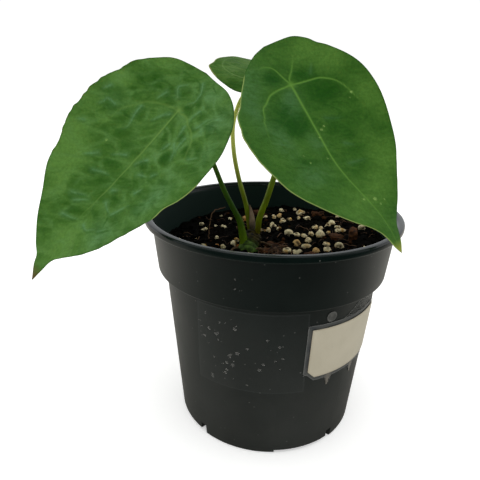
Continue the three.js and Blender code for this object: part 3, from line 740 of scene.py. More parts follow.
def lump(draw, level, size, flats=11, pores=4, squash=0.85, sharp=9.0):
    """Points and faces of one broken lump about the origin."""
    ways, faces = BALLS[level]
    reach = np.full(len(ways), 1.15)
    for _ in range(flats):
        side = unit(np.array([draw.gauss(0, 1) for _ in range(3)]))
        facing = np.clip(ways @ side, 0.05, 1)
        cut = np.exp(-sharp * draw.uniform(0.68, 0.98) / facing)
        reach = -np.log(np.exp(-sharp * reach) + cut) / sharp
    for _ in range(pores):
        side = unit(np.array([draw.gauss(0, 1) for _ in range(3)]))
        reach -= draw.uniform(0.12, 0.32) * np.exp(-((ways @ side - 1) ** 2) / 0.006)
    shape = ways * reach[:, None] * size
    shape *= [draw.uniform(1, 1.25), draw.uniform(0.8, 1), squash * draw.uniform(0.85, 1.1)]
    return shape @ np.array(Matrix.Rotation(draw.uniform(0, 6.28), 3, "Z")), faces


def seeded_draw(seed):
    """The solid's own seeded draw, so that the strewn grains fall in the same places."""
    state = seed
    while True:
        state = (state * 1664525 + 1013904223) % 4294967296
        yield state / 4294967296


# %% [markdown]
# First the places. White and tan lumps that stand out on the real soil are given by
# x, y and radius. Then the seeded draw adds the rest, away from those, the bark and
# the plant's own foot.

# %% Places of the grains
WHITE_GRAINS = [
    (17, 43, 2.4), (10, 33, 1.5), (6, 28, 1.7), (4, 16, 1.5), (20, 33, 2), (24, 18, 1.7), (34, 24, 2),
    (31, 20, 1.5), (9, 7, 1.8), (13, 6, 1.6), (21, 6, 1.5), (26, 5, 2.3), (17, 2, 1.4), (19, -3, 1.7),
    (18, -9, 1.8), (8, -15, 2), (13, -18, 2), (28, -6, 1.7), (28, -14, 1.8), (34, -10, 1.8),
    (38, 11, 1.6), (36, 13, 1.4), (-38, 14, 1.9), (-32, 21, 1), (-29, 1, 1.3), (-24, -11, 1.4),
    (-19, -8, 1.6), (-18, -1, 1.3), (-5, 14, 1.4), (-2, 13, 1.4), (1, 33, 1.4), (0, 24, 1.3),
    (1, 19, 1.5), (27, 15, 1.5),
]
TAN_GRAINS = [
    (4, 36, 1.8), (13, -6, 2), (22, -15, 1.8), (-28, -8, 1.5), (-16, -10, 1.6), (-16, 31, 1.8),
]
BARK_CHIPS = [
    (34, 3, 4, 2.6, 25, 1.6), (43, 5, 6, 2.2, 80, 4.2), (27, 40, 3.6, 2, 10, 1.8),
    (2, -9, 5, 2.4, -20, 1.6), (-1, -16, 4, 2.6, 15, 1.2), (19, -21, 3.4, 2, 40, 1.2),
    (-40, -12, 4, 2.2, 60, 1.2), (-8, 42, 5, 2.6, -35, 1.4), (10, -36, 4.4, 2.4, 5, 1.4),
]
CROWN = [
    (-11, -10.5, 84, 3.4), (-11.4, -12, 90, 5), (-11.6, -12, 94.5, 5.3),
    (-10.6, -8.6, 97.4, 4.8), (-9.6, -4.4, 99.4, 4.3), (-9.2, -1.2, 100.6, 3.4),
]
ROOTS = [
    [(-11, -13, 94), (-6.4, -15, 97.2), (-3.4, -17.2, 97.4), (-3, -19.6, 96.2), (-3.4, -21, 93.6)],
    [(-10, -9, 95), (-5.4, -9.4, 98.4), (-1.6, -10.4, 98), (1.8, -10.2, 96.6), (4, -9.4, 93.4)],
    [(-12, -11, 94), (-17.4, -14, 96.6), (-19.6, -16.6, 95.8), (-21, -19, 92.6)],
]
STREWN = {"count": 28, "seed": 7, "least": 1.0, "most": 1.9, "reach": 54.0, "apart": 4.6}
GRAIN_LIFT, GRAIN_SWELL, EDGE_SHARP = 0.32, 1.1, 18.0
STAINED_SIDE, STAINED_UNTIL, STAIN_MORE = -12.0, 8.0, 1.3
USUAL_SURFACE = 80

taken = [p[:2] for p in WHITE_GRAINS + TAN_GRAINS + BARK_CHIPS + CROWN]
taken += [p[:2] for root in ROOTS for p in root]
numbers = seeded_draw(STREWN["seed"])
strewn = []
while len(strewn) < STREWN["count"]:
    radius = STREWN["reach"] * math.sqrt(next(numbers))
    angle = 2 * math.pi * next(numbers)
    size = mixed(STREWN["least"], STREWN["most"], next(numbers) ** 2)
    x, y = radius * math.cos(angle), radius * math.sin(angle)
    if all(math.hypot(a - x, b - y) >= STREWN["apart"] for a, b in taken):
        taken.append((x, y))
        strewn.append((x, y, size))
print("strewn grains:", len(strewn), "first at", [round(v, 1) for v in strewn[0]])


# %% [markdown]
# Each grain draws a number, its lot, which says how stained it is. A second value says
# how deep a point lies under the grain's usual surface, so that pores and dents are
# painted dark brown inside, as shade. The grains left of the crown are stained more, but
# for those at the back.

# %% White and tan perlite
def placed(shape, x, y, size):
    """A lump's points and faces, moved to its place and half sunk in the soil."""
    return shape[0] + [x, y, float(soil_level(x, y)) + size * GRAIN_LIFT], shape[1]


def perlite_finish(name, clean, stained, how_stained):
    finish, tree, shader = new_finish(name, Specular_IOR_Level=0.2, Roughness=0.9)
    tone = mottled(tree, clean, stained, 330.0, 1.0)
    stain = ranged(tree, tone["Mask"], 1 - how_stained, 1.0)
    lot = value_of(tree, "lot")
    stain = times(tree, stain, scaled(tree, lot, 1.1, 0.15))
    colour = mix_colours(tree, stain, clean, stained)
    pores = use(tree, specks, Scale=900.0, Size=0.36, Share=0.5)["Mask"]
    colour = laid_on(tree, colour, rgb(0.2, 0.14, 0.07), pores, 0.35)
    # Painted shade: points deep in a pore or dent are dark brown.
    pore_shade = ranged(tree, value_of(tree, "depth"), 0.1, 0.45)
    link(mix_colours(tree, pore_shade, colour, rgb(0.05, 0.03, 0.012)), shader, "Base Color")
    grained(tree, shader, 1300.0, 0.25, 0.8)
    return finish


def grain_piece(name, places, seed, finish):
    draw = random.Random(seed)
    parts, lots, depths = [], [], []
    for x, y, size in places:
        shape = lump(draw, 3, size * GRAIN_SWELL, flats=9, sharp=EDGE_SHARP)
        span = np.linalg.norm(shape[0], axis=1)
        depths += (1 - span / np.percentile(span, USUAL_SURFACE)).tolist()
        stained = STAIN_MORE if x < STAINED_SIDE and y < STAINED_UNTIL else 0
        lots += [draw.random() + stained] * len(shape[0])
        parts.append(placed(shape, x, y, size))
    values = {"lot": lots, "depth": depths}
    return make_piece(name, *gathered(parts), finish, "soil_mix", ["soil"], values)


white_finish = perlite_finish("white_perlite", rgb(0.73, 0.64, 0.41), rgb(0.5, 0.28, 0.06), 0.66)
tan_finish = perlite_finish("tan_perlite", rgb(0.58, 0.4, 0.17), rgb(0.4, 0.14, 0.02), 0.85)
grain_piece("perlite_white", WHITE_GRAINS + strewn, 11, white_finish)
grain_piece("perlite_tan", TAN_GRAINS, 12, tan_finish)

# %% [markdown]
# Bark chips are split along the grain: long, flat, reddish brown and ridged. Each is a
# ball pushed out to a rounded box. Noise stretched along the chip ridges it, and the
# raised ridges are painted lighter, as a highlight.

# %% Bark chips
BARK_DEPTH, BARK_LEAN, BARK_SQUARE = 3.0, 0.12, 5
BARK_RIDGED, BARK_RAGGED = 0.2, 0.14
draw = random.Random(5)
parts, ridges = [], []
for x, y, half_length, half_width, degrees, stand in BARK_CHIPS:
    ways, faces = BALLS[4]
    half_height = (stand + BARK_DEPTH) / 2
    box = np.array([half_length, half_width, half_height])
    reach = np.sum(np.abs(ways / box) ** BARK_SQUARE, axis=1) ** (-1 / BARK_SQUARE)
    shape = ways * reach[:, None]
    start_at = draw.uniform(0, 50)
    ridge = [noise.noise((p[0] * 0.25 + start_at, p[1] * 1.6, p[2] * 1.6)) for p in shape]
    ragged = [noise.noise((p[0] * 0.9 + start_at, p[1] * 0.5, p[2] * 0.7)) for p in shape]
    shape *= 1 + BARK_RIDGED * np.array(ridge)[:, None] + BARK_RAGGED * np.array(ragged)[:, None]
    lean = Matrix.Rotation(math.radians(degrees), 3, "Z") @ Matrix.Rotation(BARK_LEAN, 3, "Y")
    shape = shape @ np.array(lean).T
    shape += [x, y, float(soil_level(x, y)) + stand - half_height]
    parts.append((shape, faces))
    ridges += ridge
bark, tree, shader = new_finish("bark", Specular_IOR_Level=0.1, Roughness=0.85)
tone = mottled(tree, rgb(0.006, 0.003, 0.0015), rgb(0.06, 0.022, 0.008), 190.0, 1.0)
# Painted highlight: the raised ridges of a chip are lighter.
lit = ranged(tree, value_of(tree, "ridge"), -0.2, 0.35)
link(mix_colours(tree, lit, tone["Colour"], rgb(0.085, 0.034, 0.013)), shader, "Base Color")
grained(tree, shader, 700.0, 0.4, 0.9)
make_piece("bark_chips", *gathered(parts), bark, "soil_mix", ["soil"], {"ridge": ridges})

# %% [markdown]
# Dark crumbs between the larger bits make the ground look like soil. They are strewn
# over all of it but the pale grains, many small and few large, and a few are reddish.

# %% Dark crumbs
CRUMBS, CRUMB_REACH = 1250, 56.0


def strewn_place(draw, reach):
    """A drawn place on the soil, as likely in one spot as in any other."""
    radius, angle = reach * math.sqrt(draw.random()), draw.uniform(0, 2 * math.pi)
    return radius * math.cos(angle), radius * math.sin(angle)


draw = random.Random(21)
parts, lots = [], []
pale = WHITE_GRAINS + TAN_GRAINS + strewn
for _ in range(CRUMBS):
    x, y = strewn_place(draw, CRUMB_REACH)
    size = draw.uniform(0.35, 0.7) + 1.1 * draw.random() ** 4
    shape = lump(draw, 1, size, flats=5, pores=0, squash=0.75)
    if any(math.hypot(a - x, b - y) < r + 0.3 * size for a, b, r in pale):
        continue
    lift = float(soil_level(x, y)) + crumbly(x, y) + 0.35 * size
    parts.append((shape[0] + [x, y, lift], shape[1]))
    lots += [draw.random()] * len(shape[0])
crumb, tree, shader = new_finish("crumb", Specular_IOR_Level=0.03, Roughness=0.85)
lot = value_of(tree, "lot")
colour = mix_colours(tree, lot, rgb(0.0004, 0.0004, 0.0003), rgb(0.0028, 0.0026, 0.0018))
reddish = ranged(tree, lot, 0.9, 1.0)
colour = laid_on(tree, colour, rgb(0.07, 0.028, 0.01), reddish, 0.7)
link(colour, shader, "Base Color")
grained(tree, shader, 900.0, 0.3, 0.8)
make_piece("soil_crumbs", *gathered(parts), crumb, "soil_mix", ["soil"], {"lot": lots})

# %% [markdown]
# Coir fibres are stiff brown hairs. They lie in a tangle at the foot of the plant and
# are loose elsewhere. Each is a thin tube along a short bowed line. One long dry
# rootlet stands up out of the soil and leans over to the left stalk, and one long
# stray fibre lies across the left half of the soil.

# %% Coir fibres and the dry rootlet
draw = random.Random(31)
parts, lots = [], []
TANGLE_X, TANGLE_Y, TANGLE_WIDE, TANGLE_DEEP = 1.5, -14.5, 6.5 * 0.55, 6.5 * 0.45
FIBRES, TANGLED, FIBRE_REACH, SOIL_EDGE = 190, 90, 53, 56.5
FIBRE_PLACES, FIBRE_STEPS, FIBRE_SIDES, FIBRE_LIFT = 6, 10, 5, 0.3
for k in range(FIBRES):
    if k < TANGLED:
        x, y = TANGLE_X + draw.gauss(0, TANGLE_WIDE), TANGLE_Y + draw.gauss(0, TANGLE_DEEP)
    else:
        x, y = strewn_place(draw, FIBRE_REACH)
    heading, length = draw.uniform(0, 2 * math.pi), draw.uniform(3, 8)
    rise = draw.uniform(0.2, 1.6)
    line = []
    for share in np.linspace(-0.5, 0.5, FIBRE_PLACES):
        bow = draw.uniform(-0.4, 0.4)
        px = x + share * length * math.cos(heading) - bow * math.sin(heading)
        py = y + share * length * math.sin(heading) + bow * math.cos(heading)
        if math.hypot(px, py) > SOIL_EDGE:
            break
        level = float(soil_level(px, py)) + FIBRE_LIFT
        line.append([px, py, level + rise * (1 - 4 * share * share)])
    if len(line) < FIBRE_PLACES:
        continue
    girths = np.full(FIBRE_STEPS + 1, draw.uniform(0.09, 0.19))
    parts.append(tube(smooth_line(line, FIBRE_STEPS), girths, FIBRE_SIDES))
    lots += [draw.random()] * len(parts[-1][0])

ROOTLET = [
    (-33.4, -0.4, 92), (-33.2, -0.2, 96.6), (-32.9, 0.4, 102), (-32, 1, 107.6), (-30.6, 1.8, 110.6),
    (-27.4, 2.6, 111.8), (-24.6, 3, 112.6),
]
ROOTLET_STEPS, ROOTLET_SIDES, ROOTLET_KINK, ROOTLET_GIRTHS = 60, 8, 0.12, (0.34, 0.22)
line = smooth_line(ROOTLET, ROOTLET_STEPS)
line += ROOTLET_KINK * np.sin(np.arange(ROOTLET_STEPS + 1)[:, None] * [0.9, 0.7, 1.1])
parts.append(tube(line, np.linspace(*ROOTLET_GIRTHS, ROOTLET_STEPS + 1), ROOTLET_SIDES))
lots += [0.85] * len(parts[-1][0])
STRAY = [(-52.5, -10.5), (-38, -4.4), (-24, 2.2), (-8, 9.6)]
STRAY_STEPS, STRAY_LIFT, STRAY_GIRTH = 40, 1.3, 0.13
line = smooth_line([(x, y, float(soil_level(x, y)) + STRAY_LIFT) for x, y in STRAY], STRAY_STEPS)
parts.append(tube(line, np.full(STRAY_STEPS + 1, STRAY_GIRTH), FIBRE_SIDES))
lots += [0.0] * len(parts[-1][0])
fibre, tree, shader = new_finish("coir_fibre", Roughness=0.75, Specular_IOR_Level=0.3)
colour = mix_colours(tree, value_of(tree, "lot"), rgb(0.015, 0.005, 0.0025), rgb(0.16, 0.085, 0.042))
link(colour, shader, "Base Color")
grained(tree, shader, 1500.0, 0.06, 0.6)
make_piece("coir_fibres", *gathered(parts), fibre, "soil_mix", ["soil"], {"lot": lots})

# %% [markdown]
# ## The crown and roots
# The crown is the plant's short stem. Each leaf that falls leaves a ring on it, so it
# is a stack of rounded rings, green where young and brown where old and dry. It could
# be sculpted, but one tube whose radius swells at each ring has the same look and
# stays easy to change. Thin pale roots leave it and dive into the soil. Their small
# wobble comes from vector noise, which starts from the clock unless it is seeded.

# %% Crown and roots
CROWN_STEPS, CROWN_SIDES, CROWN_END, RINGS_EVERY = 130, 40, 14, 1.7
UNEVEN, RING_OUT, RING_IN, STRAND_OUT = 0.13, 0.42, 0.25, 0.55
ROOT_STEPS, ROOT_SIDES, ROOT_WOBBLE, ROOT_GIRTHS = 30, 10, 0.2, (0.55, 0.4)
ROOT_SEED = 4
knots = np.array(CROWN)
line = smooth_line(knots, CROWN_STEPS)
centre_line, girth = line[:, :3], line[:, 3]
run = np.linspace(0, np.linalg.norm(np.diff(knots[:, :3], axis=0), axis=1).sum(), len(line))
ring = np.abs(np.sin(run * math.pi / RINGS_EVERY))
turn = even_turns(CROWN_SIDES)
uneven = np.array(
    [[noise.noise((math.cos(a), math.sin(a), s * 0.35)) for a in turn] for s in run]
)
strands = np.array(
    [[noise.noise((3.2 * math.cos(a), 3.2 * math.sin(a), s * 0.9 + 7)) for a in turn] for s in run]
)
step = np.arange(len(line))
ends = np.clip(np.minimum(step + 1, len(line) - step) / CROWN_END, 0, 1)
size = girth * np.sqrt(1 - (1 - ends) ** 2)
radius = size[:, None] * (1 + UNEVEN * uneven) + RING_OUT * (ring**0.6)[:, None]
radius = radius - RING_IN + STRAND_OUT * strands
parts = [tube(centre_line, radius, CROWN_SIDES)]
rings_value = (ring[:, None] * np.clip(1 + 1.6 * strands, 0, 1.3)).ravel().tolist() + [0, 0]
age = np.repeat(np.linspace(0.2, 1, len(line)), CROWN_SIDES).tolist() + [0.2, 1]
noise.seed_set(ROOT_SEED)
for route in ROOTS:
    line = smooth_line(route, ROOT_STEPS)
    wobble = ROOT_WOBBLE * np.array([noise.noise_vector(p * 0.5) for p in line])
    parts.append(tube(line + wobble, np.linspace(*ROOT_GIRTHS, ROOT_STEPS + 1), ROOT_SIDES))
    rings_value += [0.5] * len(parts[-1][0])
    age += [-1] * len(parts[-1][0])

crown_skin, tree, shader = new_finish("crown_skin", Roughness=0.7, Specular_IOR_Level=0.15)
crown_age = value_of(tree, "age")
flesh = mottled(tree, rgb(0.01, 0.03, 0.004), rgb(0.08, 0.15, 0.022), 420.0, 1.0)
woody = mottled(tree, rgb(0.0015, 0.001, 0.0005), rgb(0.045, 0.036, 0.004), 520.0, 1.0)
colour = mix_colours(tree, ranged(tree, crown_age, 0.6, 0.74), flesh["Colour"], woody["Colour"])
# Painted shade: the grooves between the rings and the dents among the strands are darkened to near black.
groove_shade = ranged(tree, value_of(tree, "ring"), 0.45, 0.0)
colour = laid_on(tree, colour, rgb(0.002, 0.002, 0.001), groove_shade, 0.7)
root_colour = mottled(tree, rgb(0.05, 0.025, 0.01), rgb(0.16, 0.11, 0.06), 300.0, 1.0)
colour = mix_colours(tree, ranged(tree, crown_age, -0.6, -0.4, 1, 0), colour, root_colour["Colour"])
link(colour, shader, "Base Color")
grained(tree, shader, 1100.0, 0.15, 0.7)
values = {"ring": rings_value, "age": age}
make_piece("crown_rings", *gathered(parts), crown_skin, "crown_tissue", ["crown"], values)

# %% [markdown]
# ## The leaves' frames
# Each blade is nearly flat, but it droops along its midrib, cups across it and twists
# a little. The solid describes that as a plane with three curvatures, and an outline
# given by distances along the midrib and across it. Repeating those few values here
# gives the same sheet. We need it before the stalks, since each stalk ends under its
# blade, square to it.

# %% Leaf planes and outlines
LEAVES = {
    "leaf_left": {
        "place": (-46.2, -7.6, 162.4), "facing": -10.3, "rise": 37, "turn": -29.6,
        "droop": -0.0006, "cup": -0.0139, "twist": 0.0011,
        "midrib": [
            (-22.5, -1.3), (-11, -0.4), (0, 0), (30, 0.2), (53, -0.4), (75, -2.2), (90, -1.6), (101, 2.6),
        ],
        "near": [
            (-22.5, -1.3), (-21.2, 5.3), (-19.5, 14.5), (-15.2, 22.2), (-9.6, 28), (-2.5, 33.4),
            (7, 37.6), (15, 39.1), (22, 39.7), (28, 39.6), (36, 37.1), (42, 33.9), (48, 32.6),
            (56, 28), (64, 24.2), (72, 19.4), (80, 12.9), (86, 6.8), (90, 3.4), (96, 2.9), (101, 2.6),
        ],
        "far": [
            (-22.5, -1.3), (-21.8, -10.5), (-20, -18.5), (-16, -24.3), (-8, -31), (0, -34.2),
            (9, -37.7), (20, -39), (32, -38.7), (44, -35.1), (56, -32), (68, -25.7), (80, -17.5),
            (88, -10.5), (92, -5.3), (96, -2.5), (101, 2.6),
        ],
    },
    "leaf_right": {
        "place": (5.8, -11.5, 174.7), "facing": 13.1, "rise": 34.9, "turn": 26.8,
        "droop": -0.0013, "cup": -0.0125, "twist": -0.0038,
        "midrib": [
            (-22, -1.1), (-11, -0.4), (0, 0), (24, -2.2), (38, -3.8), (49, -3.5), (67, -0.8),
            (78, -1.2), (87.6, -3.7),
        ],
        "near": [
            (-22, -1.1), (-21.4, 6.5), (-20, 12.7), (-16, 17.7), (-12, 20.6), (-8, 24.2), (0, 29.1),
            (8, 32.3), (16, 33.3), (26, 32.5), (36, 30.1), (48, 25.4), (60, 17.7), (68, 11.6), (76, 4.3),
            (80, 1.9), (84, -0.4), (87.6, -3.7),
        ],
        "far": [
            (-22, -1.1), (-20, -7.4), (-16, -13.4), (-12, -17.7), (-4, -24.4), (2, -29), (6, -32.8),
            (12, -35.2), (18, -37.2), (30, -37.3), (40, -35.3), (46, -33.2), (53, -28.4), (61, -21.4),
            (68, -14.4), (72, -9.9), (76, -6.8), (80, -5.4), (84, -4.9), (87.6, -3.7),
        ],
    },
    "leaf_back": {
        "place": (-14.6, 33.4, 176.3), "facing": 2.6, "rise": 69.6, "turn": 174,
        "droop": 0.007, "cup": -0.006, "twist": 0.003,
        "midrib": [(-17.5, 0), (-8, 0), (0, 0), (16, 0.6), (34, 0.8), (50, 0.2), (64, -1)],
        "near": [
            (-17.5, 0), (-15, 6), (-12.1, 9.6), (-8.1, 13.4), (-4.1, 17.3), (0.6, 20.9), (4.8, 23.1),
            (10.5, 25.1), (16.8, 23.6), (21.7, 23.1), (32, 20.6), (43, 15.5), (51, 9.6), (58, 4), (64, -1),
        ],
        "far": [
            (-17.5, 0), (-15, -7.4), (-12, -11.6), (-6, -17), (1, -21.6), (8, -24.8), (16, -26.2),
            (25, -25.2), (34, -21.8), (43, -16), (50, -10.6), (56, -6), (60, -3.4), (64, -1),
        ],
    },
}
BLADE_THICKNESS, RIB_DEPTH = 0.85, 0.9


def each_leaf(left, right, back):
    """A value for each leaf, in the order of their descriptions."""
    return dict(zip(LEAVES, (left, right, back)))


def leaf_axes(leaf):
    """The blade's normal, the way along its midrib, and the way across it."""
    f, r, t = (math.radians(leaf[key]) for key in ("facing", "rise", "turn"))
    normal = np.array([math.sin(f) * math.cos(r), -math.cos(f) * math.cos(r), math.sin(r)])
    down = np.array([math.sin(f) * math.sin(r), -math.cos(f) * math.sin(r), -math.cos(r)])
    along = math.cos(t) * down + math.sin(t) * np.cross(normal, down)
    return normal, along, np.cross(normal, along)


def on_leaf(leaf, s, w, lift):
    """Points of the bent sheet, s along the midrib, w across it, lifted along its normal."""
    normal, along, across = leaf_axes(leaf)
    bend = -0.5 * leaf["droop"] * s * s - 0.5 * leaf["cup"] * w * w + leaf["twist"] * s * w
    sheet = s[..., None] * along + w[..., None] * across
    return np.array(leaf["place"]) + sheet + (bend + lift)[..., None] * normal


for name, leaf in LEAVES.items():
    reach = leaf["midrib"][-1][0] - leaf["midrib"][0][0]
    print(name, "is", round(reach), "mm long and tilts", leaf["rise"], "degrees from upright")

# %% [markdown]
# ## The stalks
# A petiole is a round, slightly translucent stalk. It is thickest near the crown,
# slimmer further up, and swells to a small knuckle under the blade, where it turns
# the leaf to the light. Its path is a few places, as in the solid, and
# ends square to its blade, just under the blade's rib.

# %% Paths and radii of the petioles
PETIOLES = {
    "petiole_left": {
        "leaf": "leaf_left", "slot": "petiole_dark",
        "foot": 2.3, "waist": 1.4, "top": 0.95, "head": 1.4, "waist_at": 0.3,
        "path": [
            (-13, -12.2, 94.6), (-13.9, -11.4, 100), (-14.9, -10.6, 105), (-16.3, -9.7, 109.9),
            (-19.1, -8.8, 114.8), (-24.4, -7, 124.3), (-29.6, -4.8, 136), (-33.6, -3.2, 144.4),
            (-38.8, -1.2, 152.4),
        ],
    },
    "petiole_right": {
        "leaf": "leaf_right", "slot": "petiole_olive",
        "foot": 1.55, "waist": 1.6, "top": 1.15, "head": 1.5, "waist_at": 0.2,
        "path": [
            (-8.2, -4.6, 98.4), (-7, -5, 104.5), (-6.7, -4.9, 108.8), (-5.2, -4.8, 114.2),
            (-3.3, -4.7, 119.4), (-0.3, -4.6, 130.2), (2.9, -4.4, 142), (5.2, -3.8, 154), (5.2, -3.2, 163),
        ],
    },
    "petiole_back": {
        "leaf": "leaf_back", "slot": "petiole_olive",
        "foot": 1.6, "waist": 1.3, "top": 1.1, "head": 1.35, "waist_at": 0.25,
        "path": [
            (-10.6, -1.6, 98.6), (-11.4, 0, 103.2), (-12.2, 1.7, 106.5), (-13.3, 4.1, 111.2),
            (-14.8, 6.6, 115.9), (-18.4, 11.6, 125.4), (-21.4, 16.8, 136), (-22.9, 21.4, 145),
            (-23.2, 24.8, 152), (-22, 28.4, 159), (-19, 31.6, 166.4),
        ],
    },
}
NECK, HEAD_FROM, SOCKET_GAP = 7.0, 0.93, 0.3
STALK_STEPS, STALK_SIDES = 150, 24


def stalk_line(petiole, steps):
    leaf = LEAVES[petiole["leaf"]]
    normal = leaf_axes(leaf)[0]
    under = BLADE_THICKNESS + RIB_DEPTH + SOCKET_GAP
    ends = [tuple(np.array(leaf["place"]) - depth * normal) for depth in (NECK, under)]
    return smooth_line(petiole["path"] + ends, steps)


def stalk_radius(petiole, share):
    waist_at = petiole["waist_at"]
    foot = mixed(petiole["foot"], petiole["waist"], eased(share / waist_at))
    slim = mixed(petiole["waist"], petiole["top"], (share - waist_at) / (HEAD_FROM - waist_at))
    head = mixed(petiole["top"], petiole["head"], eased((share - HEAD_FROM) / (1 - HEAD_FROM)))
    return np.where(share < waist_at, foot, np.where(share < HEAD_FROM, slim, head))


for name, petiole in PETIOLES.items():
    pieces_of_line = np.linalg.norm(np.diff(stalk_line(petiole, STALK_STEPS), axis=0), axis=1)
    print(name, "is", round(pieces_of_line.sum()), "mm long")

# %% [markdown]
# The left stalk is dark green. The other two are olive and brownish at the foot. A
# value along the stalk drives those colours, and a little light passes through the
# skin. Each stalk turns lighter towards its blade: partly its own colour, partly painted
# light against the shade of the blades above. The stalk's section isn't quite round: it
# is slightly flattened and ribbed.

# %% Stalks and their finishes
STALK_FLAT, STALK_RIBBED = 0.05, 0.03


def stalk_finish(name, low_colour, foot_colour, shade, tip_colour, sheen, foot_reach):
    finish, tree, shader = new_finish(
        name, Roughness=0.4, Specular_IOR_Level=sheen, Subsurface_Weight=0.1, Subsurface_Scale=0.002
    )
    share = value_of(tree, "share")
    body = mottled(tree, low_colour, shade, 140.0, 0.9)
    colour = mix_colours(tree, ranged(tree, share, foot_reach, 0.0), body["Colour"], foot_colour)
    # Painted light, in part: the stalk turns to its lighter tip colour towards the blade, against the
    # blades' shade.
    colour = mix_colours(tree, ranged(tree, share, 0.2, 0.75), colour, tip_colour)
    marks = use(tree, specks, Scale=700.0, Size=0.2, Share=0.25)["Mask"]
    colour = laid_on(tree, colour, rgb(0.2, 0.22, 0.08), marks, 0.25)
    link(colour, shader, "Base Color")
    grained(tree, shader, 900.0, 0.05, 0.5)
    return finish


STALK_FINISHES = {
    "petiole_left": stalk_finish(
        "stalk_dark", rgb(0.012, 0.048, 0.001), rgb(0.1, 0.18, 0.004), rgb(0.032, 0.085, 0.003),
        rgb(0.075, 0.17, 0.014), sheen=0.06, foot_reach=0.3,
    ),
    "petiole_right": stalk_finish(
        "stalk_olive", rgb(0.11, 0.15, 0.002), rgb(0.085, 0.065, 0.002), rgb(0.16, 0.24, 0.004),
        rgb(0.24, 0.38, 0.03), sheen=0.1, foot_reach=0.2,
    ),
    "petiole_back": stalk_finish(
        "stalk_green", rgb(0.075, 0.11, 0.001), rgb(0.08, 0.08, 0.004), rgb(0.125, 0.18, 0.003),
        rgb(0.58, 0.64, 0.13), sheen=0.1, foot_reach=0.16,
    ),
}
for name, petiole in PETIOLES.items():
    line = stalk_line(petiole, STALK_STEPS)
    share = np.linspace(0, 1, STALK_STEPS + 1)
    radius = stalk_radius(petiole, share)
    turn = even_turns(STALK_SIDES)
    flat = 1 + STALK_FLAT * np.cos(2 * turn)[None, :] + STALK_RIBBED * np.cos(7 * turn)[None, :]
    points, faces = tube(line, radius[:, None] * flat, STALK_SIDES)
    shares = np.repeat(share, STALK_SIDES).tolist() + [0, 1]
    finish, slot = STALK_FINISHES[name], petiole["slot"]
    make_piece(name.replace("petiole", "stalk"), points, faces, finish, slot, [name], {"share": shares})

# %% [markdown]
# The sheath, the blades, the label and its film are thin, with two sides and an edge.
# Each is two sheets of points, joined at their edges. A solidify modifier could do it,
# but it gives one thickness all over, and a blade is thinner at its margin.

# %% Two-sided sheets
def sheet_solid(front, back):
    """Points and faces of a thin solid between two grids of points."""
    rows, columns = front.shape[:2]
    points = np.vstack([front.reshape(-1, 3), back.reshape(-1, 3)])
    half = rows * columns
    faces = grid_faces(rows, columns, flip=True) + grid_faces(rows, columns, start=half)
    rim = list(range(columns))
    rim += [i * columns + columns - 1 for i in range(1, rows)]
    rim += [(rows - 1) * columns + j for j in range(columns - 2, -1, -1)]
    rim += [i * columns for i in range(rows - 2, 0, -1)]
    for a, b in zip(rim, rim[1:] + rim[:1]):
        faces.append([a, b, half + b, half + a])
    return points, faces


square = np.array([[(0, 0, 0), (1, 0, 0)], [(0, 1, 0), (1, 1, 0)]])
print("a square sheet has", len(sheet_solid(square + [0, 0, 0.1], square)[1]), "faces")

# %% [markdown]
# The papery sheath that wrapped the youngest leaf has dried to a tan gutter and still
# stands at the foot of the back stalk. It is a thin curled sheet with fine lengthwise
# veins, ragged at its tip. It follows the stalk's own line and opens round it.

# %% Papery sheath
SHEATH = {
    "from": 0.015, "to": 0.19, "foot": 2.2, "belly": 0.8, "top": 1.6,
    "facing": -20, "span": 150, "taper": 0.8,
}
SHEATH_ROWS, SHEATH_COLUMNS, PAPER, LINE_STEPS = 60, 36, 0.22, 400
SHEATH_CLEAR, SHEATH_VEINS, SHEATH_RAGGED, SHEATH_TORN = 0.3, 0.07, 0.25, 1.1
line = stalk_line(PETIOLES["petiole_back"], LINE_STEPS)
share = np.linspace(0, 1, SHEATH_ROWS)[:, None]
middle = line[np.round(LINE_STEPS * mixed(SHEATH["from"], SHEATH["to"], share[:, 0])).astype(int)]
across = np.linspace(-1, 1, SHEATH_COLUMNS)[None, :]
half_span = SHEATH["span"] / 2 * (1 - SHEATH["taper"] * share**2)
ragged = np.array([noise.noise((4.0, x * 5, 1.0)) for x in across[0]])[None, :]
angle = np.radians(SHEATH["facing"] + across * half_span)
radius = mixed(SHEATH["foot"], SHEATH["top"], share) + SHEATH["belly"] * np.sin(math.pi * share)
radius = radius + SHEATH_CLEAR + SHEATH_VEINS * np.sin(across * 22 + share * 2)
radius = radius + SHEATH_RAGGED * ragged * share
way = np.stack([np.cos(angle), np.sin(angle), 0 * angle], axis=-1)
rise = np.stack([0 * angle, 0 * angle, SHEATH_TORN * ragged * share**3], axis=-1)
inner = middle[:, None, :] + way * radius[..., None] + rise
points, faces = sheet_solid(inner + way * PAPER, inner)
dry_paper, tree, shader = new_finish("dry_sheath", Roughness=0.7, Specular_IOR_Level=0.35)
tone = mottled(tree, rgb(0.08, 0.05, 0.02), rgb(0.21, 0.15, 0.09), 230.0, 1.0)
tall = np.repeat(share[:, 0], SHEATH_COLUMNS).tolist() * 2
foot_brown = ranged(tree, value_of(tree, "share"), 0.6, 0.25)
link(mix_colours(tree, foot_brown, tone["Colour"], rgb(0.03, 0.02, 0.004)), shader, "Base Color")
grained(tree, shader, 1200.0, 0.08, 0.6)
make_piece("sheath_dry", points, faces, dry_paper, "sheath_papery", ["sheath"], {"share": tall})

